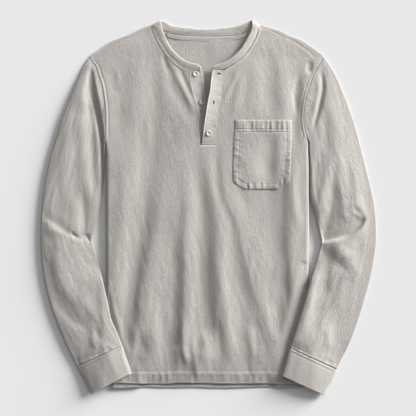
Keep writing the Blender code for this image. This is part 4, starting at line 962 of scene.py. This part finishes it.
def make_sleeve(name, node, table, side, lie, cuff_lie, folds, start):
    points, uv, down, edge_away, upper = flat_tube(table, 250, 150, side, JERSEY, lie, folds, start, 0.9,
                                                   cuff_lie)
    to_cuff = down.max() - down
    gather = noise(points[..., 0], points[..., 1], 7, 7, start + 3)
    gather += 0.5 * noise(uv[:, :-1, 0] / MM, down, 4, 30, start)
    points[..., 2] += 0.8 * gather * np.exp(-to_cuff / 12) * upper * ease(edge_away / 6)
    ribs = 0.45 * near(to_cuff - 2.8, 1.5) - 0.6 * near(to_cuff - 6.4, 1.3)
    points[..., 2] += ribs * upper * ease(edge_away / 4)
    points[..., 2] -= 0.8 * near(to_cuff, 0.9) * upper * ease(edge_away / 6)
    worn = np.maximum(0.5 * near(down, 2.5), 0.6 * near(to_cuff, 3))
    sleeve = grid_piece(name, points, uv, {"worn": worn}, closed=True)
    give_wall(sleeve, JERSEY)
    place_piece(sleeve, node, "jersey", jersey)
    return sleeve


sleeve_right = make_sleeve("sleeve_right_cloth", "sleeve_right", SLEEVE_RIGHT, -1, LIE_RIGHT, CUFF_LIE_RIGHT,
                           SLEEVE_FOLDS_RIGHT, 3)
sleeve_left = make_sleeve("sleeve_left_cloth", "sleeve_left", SLEEVE_LEFT, 1, LIE_LEFT, CUFF_LIE_LEFT,
                          SLEEVE_FOLDS_LEFT, 6)
print("each sleeve:", len(sleeve_right.data.polygons), "faces")

# %% [markdown]
# ## The cuffs
# Each cuff is a band of jersey folded double, so it is thicker and smoother than the sleeve, and its open
# end is a fold. The sleeve is a little wider than the cuff, and is eased into it with small gathers.

# %% The cuffs
CUFF_RIGHT = ((-262, -318, -173, -276), (-255, -331, -169, -289), (-247, -346, -164, -304),
              (-240, -359, -158, -320), (-233.5, -371.5, -155, -331))
CUFF_LEFT = ((255, -324, 163, -280), (250.5, -335, 159.5, -292), (245, -346.5, 156, -307),
             (237, -360, 151, -323), (229.5, -374, 147, -336))


def make_cuff(name, node, table, side, lie, start):
    first, second = np.array(table[0], float), np.array(table[1], float)
    step = (second - first) / np.hypot(*(second - first)[:2])
    table = (tuple(first + step * (SEAM + 0.4)), *table[1:])
    points, uv, down, edge_away, upper = flat_tube(table, 44, 96, side, DOUBLED, lie, (), start, 0.45)
    round_x = uv[:, :-1, 0] / MM
    bulge = 0.7 * noise(round_x, down, 26, 50, start) + 0.35 * noise(round_x, down, 9, 60, start)
    rib = 0.35 * near(down - 2.4, 1.5) - 0.5 * near(down - 6.0, 1.4)
    points[..., 2] += (rib + bulge + 0.8 * np.sin(np.pi * down / down.max())) * upper * ease(edge_away / 6)
    worn = np.maximum(0.6 * near(down, 1.6), 0.8 * near(down.max() - down, 2.2))
    cuff = grid_piece(name, points, uv, {"worn": worn}, closed=True)
    give_wall(cuff, DOUBLED)
    place_piece(cuff, node, "doubled_jersey", doubled)
    return cuff


cuff_right = make_cuff("cuff_right_cloth", "cuff_right", CUFF_RIGHT, -1, CUFF_LIE_RIGHT, 9)
cuff_left = make_cuff("cuff_left_cloth", "cuff_left", CUFF_LEFT, 1, CUFF_LIE_LEFT, 12)
print("each cuff:", len(cuff_right.data.polygons), "faces")

# %% [markdown]
# ## Strips: the neckband, the tape and the plackets
# These are strips of cloth folded on themselves. A strip is made whole: its section is a flat oval that
# follows the line from its sewn edge to its free edge, so both edges are round and the ends can be closed.

# %% A closed strip
def strip_piece(name, sewn, free, around, thickness, relief, worn_width, start):
    """A closed strip: across by s = (1 - cos t) / 2 from sewn to free, up or down by half the thickness
    times a quarter circle at the edges, tighter at the sewn one. The upper side adds
    relief(down, across, width)."""
    count = len(sewn)
    turn = np.linspace(0, 2 * np.pi, around, endpoint=False)
    share = np.broadcast_to((1 - np.cos(turn)) / 2, (count, around))
    width = np.linalg.norm(free - sewn, axis=1)[:, None]
    middle = (sewn + free) / 2
    down = np.append(0, np.cumsum(np.linalg.norm(np.diff(middle, axis=0), axis=1)))[:, None]
    down = np.broadcast_to(down, share.shape)
    across = width * share
    edge_away = np.minimum(across, width - across)
    end_away = np.minimum(down, down.max() - down)
    corner = np.sqrt(1 - (1 - np.clip(np.minimum(across / 0.35, (width - across) / 0.9), 0, 1)) ** 2)
    corner = corner * np.sqrt(1 - 0.7 * (1 - np.clip(end_away / 0.6, 0, 1)) ** 2)
    upper = np.where(turn < np.pi, 1.0, -1.0)
    points = sewn[:, None] + (free - sewn)[:, None] * share[..., None]
    raised = np.where(upper > 0, relief(down, across, width), 0)
    points[..., 2] += upper * thickness / 2 * corner + raised * corner
    u = np.column_stack([np.where(upper > 0, across, 2 * width - across), 2 * width])
    uv = np.stack([u, np.broadcast_to(-down[:, :1], u.shape)], axis=-1) * MM + start
    worn = near(np.minimum(edge_away, end_away), worn_width)
    strip = grid_piece(name, points, uv, {"worn": worn}, closed=True)
    close_ends(strip)
    return strip, points


# %% The neckband and the tape
NECKBAND_FREE = (
    (-14.5, 281.5), (-25, 286), (-34, 288), (-43, 291), (-51, 296), (-60, 303), (-68, 311), (-76, 320),
     (-85, 338),
    (-91, 352), (-93.5, 364), (-95, 373.5), (-86, 370), (-73, 363), (-57, 360), (-38, 358), (-14, 356),
     (4, 356),
    (22, 358), (45, 360), (62, 364), (76, 370), (82, 372.5), (86, 374), (87.5, 365), (86, 355), (79, 340),
    (72, 327), (63, 314), (53, 304), (43, 296), (33, 290), (22, 286), (9.5, 282),
)
BAND_ON_SURFACE, BAND_AT_FOLD = DOUBLED / 2, 2.6
BAND_STEPS, BAND_STEP, CORNER = 360, 1.75, 4.5  # points along it, mm between them, and its ends' rounding
seam, free = np.array(NECK_SEAM, float), np.array(NECKBAND_FREE, float)
on_front = np.ones(len(seam))
on_front[11], on_front[12:23], on_front[23] = 0.5, 0.0, 0.5
height = np.maximum(front_height(seam[:, 0], seam[:, 1], 0), 2 * BAND_AT_FOLD - BAND_ON_SURFACE) + 0.2
height = np.where(on_front == 1, height, np.where(on_front == 0.5, BAND_AT_FOLD, BAND_ON_SURFACE))
height[-2:] += 0.6, 2.4
seam[-1, 0], free[-1, 0] = 7.2, 8.2
both = np.column_stack([seam, height, free, height + (on_front == 1) * np.where(seam[:, 0] > 0, 3.8, 0.8)])
both = along_path(both, BAND_STEPS)
sewn, free = both[:, :3], both[:, 3:]
from_end = np.minimum(np.arange(BAND_STEPS), np.arange(BAND_STEPS)[::-1]) * BAND_STEP
free = free - (free - sewn) * 0.3 * (np.clip(1 - from_end / CORNER, 0, 1) ** 2)[:, None]
sewn = sewn + (free - sewn) / np.linalg.norm(free - sewn, axis=1, keepdims=True) * SEAM


def band_relief(down, across, width):
    """A soft swell across the band, pulled flat at its sewn edge, with small slanting wrinkles."""
    wrinkle = 0.2 * noise(down + 0.6 * across, across, 6, 9, 61) + 0.25 * noise(down, across, 24, 12, 62)
    stitched = 0.45 * near(across - 2.2, 0.7)
    return 0.5 * np.sin(np.pi * across / width) + wrinkle - stitched


neckband, band_points = strip_piece("neckband_cloth", sewn, free, 36, DOUBLED, band_relief, 1.8, 15)
place_piece(neckband, "neckband", "doubled_jersey", doubled)


def tape_relief(down, across, width):
    """The small unevenness of a woven tape."""
    return 0.12 * noise(down, across, 5, 9, 63)


tape_x = np.linspace(-84, 77, 80)
back_seam = np.array(NECK_SEAM[12:23], float)
tape_y = smooth(back_seam[:, 0], back_seam[:, 1], tape_x) - 2.6
tape_z = np.full(len(tape_x), ON_SURFACE + JERSEY / 2 + SEAM + TAPE / 2)
tape_upper, tape_lower = np.stack([tape_x, tape_y, tape_z], 1), np.stack([tape_x, tape_y - 8, tape_z], 1)
tape, _ = strip_piece("neck_tape_cloth", tape_upper, tape_lower, 20, TAPE, tape_relief, 1.2, 16)
place_piece(tape, "neck_tape", "tape", tape_weave)
print("neckband:", len(neckband.data.polygons), "faces; tape:", len(tape.data.polygons))

# %% [markdown]
# ## The plackets
# The opening is finished by two strips. The lower one carries the buttons and sinks towards its free edge.
# The upper one laps over it, stands off it above the fastened button and so shades it, and is sewn down
# round its foot. Its two buttonholes are cut between two rows, or two columns, of the grid and open like a
# lens.

# %% The plackets
UNDER_FREE_EDGE = ((272, -13), (256, -10), (238, -8), (214, -5), (184, -1), (154, 3), (124, 7))
OVER_FREE_EDGE = ((272, 7.5), (254, 5), (234, 3), (214, -1), (190, -5), (164, -9), (138, -12), (124, -13))
UNDER_SINK = ((272, 1.6), (256, 4.0), (236, 6.4), (190, 7.0), (150, 6.6), (124, 3.0))
OVER_LIFT = ((272, 4.0), (240, 6.2), (180, 6.6), (150, 4.0), (124, -0.3))
PLACKET_LOWEST, FOOT_SINK = 2.8, 2.4
FLUSH = (DOUBLED - JERSEY) / 2  # the thicker strip lies that much lower, so that the tops are level
PLACKET_TOP_Y, PLACKET_FOOT_Y, PLACKET_ROWS, UNDER_COLUMNS, OVER_COLUMNS = 273.4, 124.6, 126, 22, 24


def under_point(share, y):
    """Points of the lower placket's middle surface; share runs from its sewn edge to its free edge."""
    share, y = np.broadcast_arrays(share, y)
    sewn_x, free_x = along(NECKLINE_RIGHT, y), along(UNDER_FREE_EDGE, y)
    across = (free_x - sewn_x) * share
    sunk = FOOT_SINK * ease((152 - y) / 20)
    height = front_height(sewn_x, y) - FLUSH - sunk - along(UNDER_SINK, y) * share**0.8
    height += 0.4 * noise(across, y, 9, 6, 72) * np.sin(np.pi * share) - 0.4 * near(across - 3.0, 0.8)
    return np.stack([sewn_x + SEAM + across, y, np.maximum(height, PLACKET_LOWEST)], -1)


def over_point(share, y):
    """Points of the upper placket's middle surface; share runs from its sewn edge to its free edge."""
    share, y = np.broadcast_arrays(share, y)
    sewn_x, free_x = along(NECKLINE_LEFT, y), along(OVER_FREE_EDGE, y)
    across, to_free = (sewn_x - free_x) * share, (sewn_x - free_x) * (1 - share)
    height = front_height(sewn_x, y) - FLUSH + along(OVER_LIFT, y) * share**1.8 + 0.3 * np.sin(np.pi * share)
    height -= 0.2 * near(across - 3.4, 0.9) + 0.4 * near(to_free - 3.0, 0.8)
    height += 0.4 * noise(across, y, 9, 4.5, 71) * near(across - 3.4, 3.2)
    height += 0.14 * noise(across, y, 12, 9, 73) - 0.5 * near(y - 127.5, 0.9) * (to_free > 4)
    return np.stack([sewn_x - 0.1 - across, y, height], -1)


def open_hole(points, row, column, count, upright, lens):
    """Moves two neighbouring rows (or, upright, columns) of a grid apart by lens * (1 - t^2), t from -1 to 1.
    Gives the rim, all the way round."""
    t = np.linspace(-1, 1, count)
    half = (0.12 + lens * (1 - t * t))[:, None]
    run = slice(row, row + count) if upright else slice(column, column + count)
    one, other = ((run, column), (run, column + 1)) if upright else ((row, run), (row + 1, run))
    middle, away = (points[one] + points[other]) / 2, points[one] - points[other]
    away /= np.linalg.norm(away, axis=1, keepdims=True)
    points[one], points[other] = middle + away * half, middle - away * half
    return np.concatenate([points[one], points[other][::-1], points[one][:1]])


placket_y = np.linspace(PLACKET_TOP_Y, PLACKET_FOOT_Y, PLACKET_ROWS)[:, None]
under_points = under_point(np.linspace(0, 1, UNDER_COLUMNS), placket_y)
under_worn = near(np.linspace(1, 0, UNDER_COLUMNS) * 20, 1.6) * np.ones((PLACKET_ROWS, 1))
under_uv = np.stack(np.broadcast_arrays(np.linspace(0, 22, UNDER_COLUMNS), placket_y), -1) * MM + 17.0
placket_under = grid_piece("placket_under_cloth", under_points, under_uv, {"worn": under_worn})

over_points = over_point(np.linspace(0, 1, OVER_COLUMNS), placket_y)
holes = open_hole(over_points, 6, 5, 10, False, 3.3), open_hole(over_points, 51, 12, 7, True, 2.8)
keep = np.ones((PLACKET_ROWS - 1, OVER_COLUMNS - 1), bool)
keep[6, 5:14], keep[51:57, 12] = False, False
over_worn = near(np.linspace(1, 0, OVER_COLUMNS) * 22, 1.8) * np.ones((PLACKET_ROWS, 1))
over_worn = np.maximum(over_worn, near(placket_y - PLACKET_FOOT_Y, 1.5))
over_uv = np.stack(np.broadcast_arrays(np.linspace(0, 24, OVER_COLUMNS), placket_y), -1) * MM + 18.0
placket_over = grid_piece("placket_over_cloth", over_points, over_uv, {"worn": over_worn}, keep=keep)
for placket, node in ((placket_under, "placket_under"), (placket_over, "placket_over")):
    give_wall(placket, DOUBLED)
    place_piece(placket, node, "doubled_jersey", doubled)
print("buttonholes at x, y:", [np.round(hole.mean(axis=0)[:2]) for hole in holes])

# %% [markdown]
# ## The buttons
# A button is turned: its section is one smooth curve from the middle of its dished face over the rim to the
# middle of its back, and the section goes once round. Four wells are sunk into the dish for the thread.

# %% The buttons
BUTTON_SECTION = ((0.25, 1.4), (1.6, 1.4), (2.7, 1.45), (3.3, 1.7), (3.9, 2.1), (4.5, 2.25), (5.1, 2.1),
                  (5.5, 1.7), (5.7, 1.1), (5.5, 0.5), (4.9, 0.1), (0.25, 0.0))
BUTTON_SEAT, WELL_PLACE, WELL_DEPTH = DOUBLED / 2 + 0.1, 1.15, 1.2


def seat_of(point_at, x, y):
    """The place x, y on a placket and two steps along it and the direction out of it."""
    shares = np.linspace(0, 1, 60)
    row = point_at(shares, np.full(60, float(y)))
    share = shares[np.abs(row[:, 0] - x).argmin()]
    here = point_at(share, float(y))
    across = point_at(share + 0.1, float(y)) - point_at(share - 0.1, float(y))
    up = point_at(share, y + 3.0) - point_at(share, y - 3.0)
    across, up = across * np.sign(across[0]) / np.linalg.norm(across), up / np.linalg.norm(up)
    out = np.cross(across, up)
    return here + out * BUTTON_SEAT, across, np.cross(out, across), out


def make_button(name, node, seat):
    """Rings of the turned section; the face sinks by the depth of the wells where they are."""
    centre, across, up, out = seat
    rings, turn = along_path(BUTTON_SECTION, 56), np.linspace(0, 2 * np.pi, 64, endpoint=False)
    x, y = rings[:, :1] * np.cos(turn), rings[:, :1] * np.sin(turn)
    away = np.hypot(np.abs(x) - WELL_PLACE, np.abs(y) - WELL_PLACE)
    height = rings[:, 1:] - WELL_DEPTH * ease((0.85 - away) / 0.4) * (rings[:, 1:] > 1.3)
    points = centre + x[..., None] * across + y[..., None] * up + height[..., None] * out
    uv = np.stack([np.column_stack([x, x[:, 0]]), np.column_stack([y, y[:, 0]])], -1) * MM
    button = grid_piece(name, points, uv, closed=True)
    close_ends(button)
    place_piece(button, node, "button_shell", shell)


SEATS = {"top": seat_of(under_point, -25.5, 266.0), "middle": seat_of(under_point, -14.0, 209.5),
         "bottom": seat_of(over_point, 0.6, 147.5)}
for label, seat in SEATS.items():
    make_button("button_%s_shell" % label, "button_" + label, seat)
print("buttons:", {label: np.round(seat[0], 1).tolist() for label, seat in SEATS.items()})

# %% [markdown]
# ## Thread
# A stitch is a small spindle of thread that sinks into the cloth at both ends. All the stitches of a seam
# lie in even steps along one line on the cloth. The buttonholes' edges are whipped, so there the thread is
# one cord.

# %% Thread
SPINDLE = np.array(((0.0, 0.30), (0.14, 0.8), (0.5, 1.0), (0.86, 0.8), (1.0, 0.30)))
UP = np.array((0.0, 0.0, 1.0))


def stitched(name, runs, slot, pitch=3.0, length=2.4, thick=0.2):
    """Spindles of six sides along each run of x, y, z points, one for each pitch."""
    centres, ways = [], []
    for run in runs:
        run = np.asarray(run, float)
        count = max(1, int(np.linalg.norm(np.diff(run[:, :2], axis=0), axis=1).sum() / pitch))
        at = along_path(run, 2 * count + 1)
        centres.append(at[1::2])
        ways.append(at[2::2] - at[:-2:2])
    centres, ways = np.concatenate(centres), np.concatenate(ways)
    ways = ways / np.linalg.norm(ways, axis=1, keepdims=True)
    side = np.cross(ways, UP)
    side /= np.linalg.norm(side, axis=1, keepdims=True)
    top = np.cross(side, ways)
    turn = np.arange(6) * np.pi / 3
    ring = side[:, None] * np.cos(turn)[:, None] + top[:, None] * np.sin(turn)[:, None]
    along_way = (SPINDLE[:, 0] - 0.5)[:, None] * length * ways[:, None]
    radii = (SPINDLE[:, 1] * thick)[:, None, None]
    points = (centres[:, None] + along_way)[:, :, None] + ring[:, None] * radii
    cell = np.array([(r * 6 + k, r * 6 + (k + 1) % 6, r * 6 + 6 + (k + 1) % 6, r * 6 + 6 + k)
                     for r in range(4) for k in range(6)])
    base = np.arange(len(centres))[:, None, None] * 30
    faces = (cell + base).reshape(-1, 4).tolist()
    for start in range(0, 30 * len(centres), 30):
        faces += [list(range(start + 5, start - 1, -1)), list(range(start + 24, start + 30))]
    mesh = bpy.data.meshes.new(name)
    mesh.from_pydata((points.reshape(-1, 3) * MM).tolist(), [], faces)
    mesh.shade_smooth()
    piece = bpy.data.objects.new(name, mesh)
    bpy.context.collection.objects.link(piece)
    place_piece(piece, None, slot, thread)
    return len(centres)


def on_front(x, y):
    """Points just over the front's upper side."""
    x, y = np.broadcast_arrays(np.asarray(x, float), np.asarray(y, float))
    return np.column_stack([x, y, front_height(x, y) + JERSEY / 2 + 0.08])


def beside(path, offset, count):
    """A smooth line beside a path, offset to its left."""
    at = along_path(path, count)
    way = np.gradient(at, axis=0)
    way /= np.linalg.norm(way, axis=1, keepdims=True)
    return at + np.column_stack([-way[:, 1], way[:, 0]]) * offset


runs = [on_front(*beside(NECK_RIGHT_PATH[1:], 3.2, 80).T), on_front(*beside(NECK_LEFT_PATH[:-1], 3.2, 80).T)]
for side in (-1, 1):
    arm_y = np.linspace(294, 146, 70)
    runs.append(on_front(outer_edge(arm_y, side) - side * 5.0, arm_y))
    edge = FOREARM_EDGE_RIGHT if side < 0 else FOREARM_EDGE_LEFT
    for row in (0.0, 2.6):
        hem_x = side * np.linspace(1.5, float(along(edge, HEM_SEAM_Y)) - 4, 90)
        runs.append(on_front(hem_x, np.full(90, HEM_SEAM_Y - row)))
    shoulder = np.array(SHOULDER_RIGHT if side < 0 else SHOULDER_LEFT, float)[1:-1, ::-1]
    runs.append(on_front(*beside(shoulder, -side * 6.0, 60).T))
count = stitched("panel_stitches", runs, "jersey")
raised = np.array((0, 0, DOUBLED / 2 + 0.05))
shares = np.linspace(0, 1, 24)
rows = [under_point(3.0 / 21, placket_y[:, 0]), over_point(3.4 / 22, placket_y[3:, 0]),
        over_point(19.2 / 22, placket_y[3:, 0]), over_point(shares[5:-3], np.full(16, 127.5))]
count += stitched("placket_stitches", [run + raised for run in rows], "doubled_jersey")
for label, (centre, across, up, out) in SEATS.items():
    ends = [centre + out * 1.5 + (across * a + up * b) * WELL_PLACE
            for a, b in ((-1, -1), (1, 1), (-1, 1), (1, -1))]
    count += stitched("button_thread_" + label, [ends[:2], ends[2:]], "button_shell", 4.0, 3.3, 0.28)


def cord(name, path, radius, slot):
    """A cord round a path, ribbed by radius * (1 + 0.2 sin), where its whipping turns."""
    at = along_path(path, 150)
    way = np.gradient(at, axis=0)
    way /= np.linalg.norm(way, axis=1, keepdims=True)
    side = np.cross(way, UP)
    side /= np.linalg.norm(side, axis=1, keepdims=True)
    turn = np.linspace(0, 2 * np.pi, 8, endpoint=False)
    ribbed = (radius * (1 + 0.2 * np.sin(np.arange(150) * 1.9)))[:, None, None]
    ring = side[:, None] * np.cos(turn)[:, None] + np.cross(side, way)[:, None] * np.sin(turn)[:, None]
    points = at[:, None] + ribbed * ring
    piece = grid_piece(name, points, np.zeros((150, 9, 2)), closed=True)
    close_ends(piece)
    place_piece(piece, None, slot, thread)


for label, hole in zip(("top", "middle"), holes):
    outwards = hole - hole.mean(axis=0)
    outwards *= 0.7 / np.linalg.norm(outwards, axis=1, keepdims=True)
    cord("buttonhole_%s_edge" % label, hole + outwards + (0, 0, DOUBLED / 2), 0.42, "doubled_jersey")
print("stitches:", count)

# %% [markdown]
# ## Surface, light and camera
# The shirt lies on a wide pale surface and is seen from straight above. One large soft light comes from the
# wearer's left, low enough for every fold to show, a weaker one stands over the neck, and a dim even light
# fills the shade. The surface's colour makes up for how each light falls off, so it looks evenly lit.

# %% Surface, light and camera
# Each light: its strength at the shirt, how far it is, its azimuth from the wearer's left up to the neck, its
# elevation above the surface, and its width
LIGHTS = {"key": (8.2, 10.0, 34.0, 17.0, 5.1), "top": (0.6, 2.4, 78.0, 50.0, 2.2)}
ROOM_LIGHT, FLOOR_LEVEL = 0.25, 2.51


def place_of(away, azimuth, elevation):
    azimuth, elevation = np.radians([azimuth, elevation])
    flat = away * np.cos(elevation)
    return tuple(float(v) for v in (flat * np.cos(azimuth), flat * np.sin(azimuth), away * np.sin(elevation)))


floor_mesh = bpy.data.meshes.new("floor")
FLOOR_HALF, FLOOR_DROP = 4.0, 0.0004
corners = [(FLOOR_HALF * x, FLOOR_HALF * y, -FLOOR_DROP) for x, y in ((-1, -1), (1, -1), (1, 1), (-1, 1))]
floor_mesh.from_pydata(corners, [], [(0, 1, 2, 3)])
floor = bpy.data.objects.new("floor", floor_mesh)
bpy.context.collection.objects.link(floor)
paper, tree, shader = new_material("pale_floor")
place = tree.nodes.new("ShaderNodeTexCoord").outputs["Object"]
falling = ROOM_LIGHT * np.pi
for strength, away, azimuth, elevation, wide in LIGHTS.values():
    far = tree.nodes.new("ShaderNodeVectorMath")
    far.operation = "DISTANCE"
    put(tree, far.inputs[0], place)
    far.inputs[1].default_value = place_of(away, azimuth, elevation)
    reach = math(tree, "ADD", math(tree, "POWER", far.outputs["Value"], 2.0), wide ** 2 / 4)
    reach = math(tree, "MULTIPLY", reach, far.outputs["Value"])
    at_centre = strength * place_of(away, azimuth, elevation)[2] * away ** 2
    falling = math(tree, "ADD", falling, math(tree, "DIVIDE", at_centre, reach))
put(tree, shader["Base Color"], math(tree, "DIVIDE", FLOOR_LEVEL, falling))
shader["Roughness"].default_value = 0.9
floor_mesh.materials.append(paper)


for name, (strength, away, azimuth, elevation, wide) in LIGHTS.items():
    data = bpy.data.lights.new(name, "AREA")
    data.shape, data.size, data.energy = "DISK", wide, strength * np.pi * away ** 2
    light = bpy.data.objects.new(name, data)
    light.location = place_of(away, azimuth, elevation)
    light.rotation_euler = (0, np.radians(90 - elevation), np.radians(azimuth))
    bpy.context.collection.objects.link(light)
world = bpy.data.worlds.new("room")
bpy.context.scene.world = world
world.use_nodes = True
world.node_tree.nodes["Background"].inputs["Color"].default_value = (1, 1, 1, 1)
world.node_tree.nodes["Background"].inputs["Strength"].default_value = ROOM_LIGHT
bpy.context.scene.view_settings.view_transform = "Standard"

HEIGHT, WIDE = 3.4, 0.832
camera_data = bpy.data.cameras.new("camera")
camera_data.lens = camera_data.sensor_width * HEIGHT / WIDE
camera = bpy.data.objects.new("camera", camera_data)
camera.location = (-0.001, -0.0015, HEIGHT)
bpy.context.collection.objects.link(camera)
bpy.context.scene.camera = camera
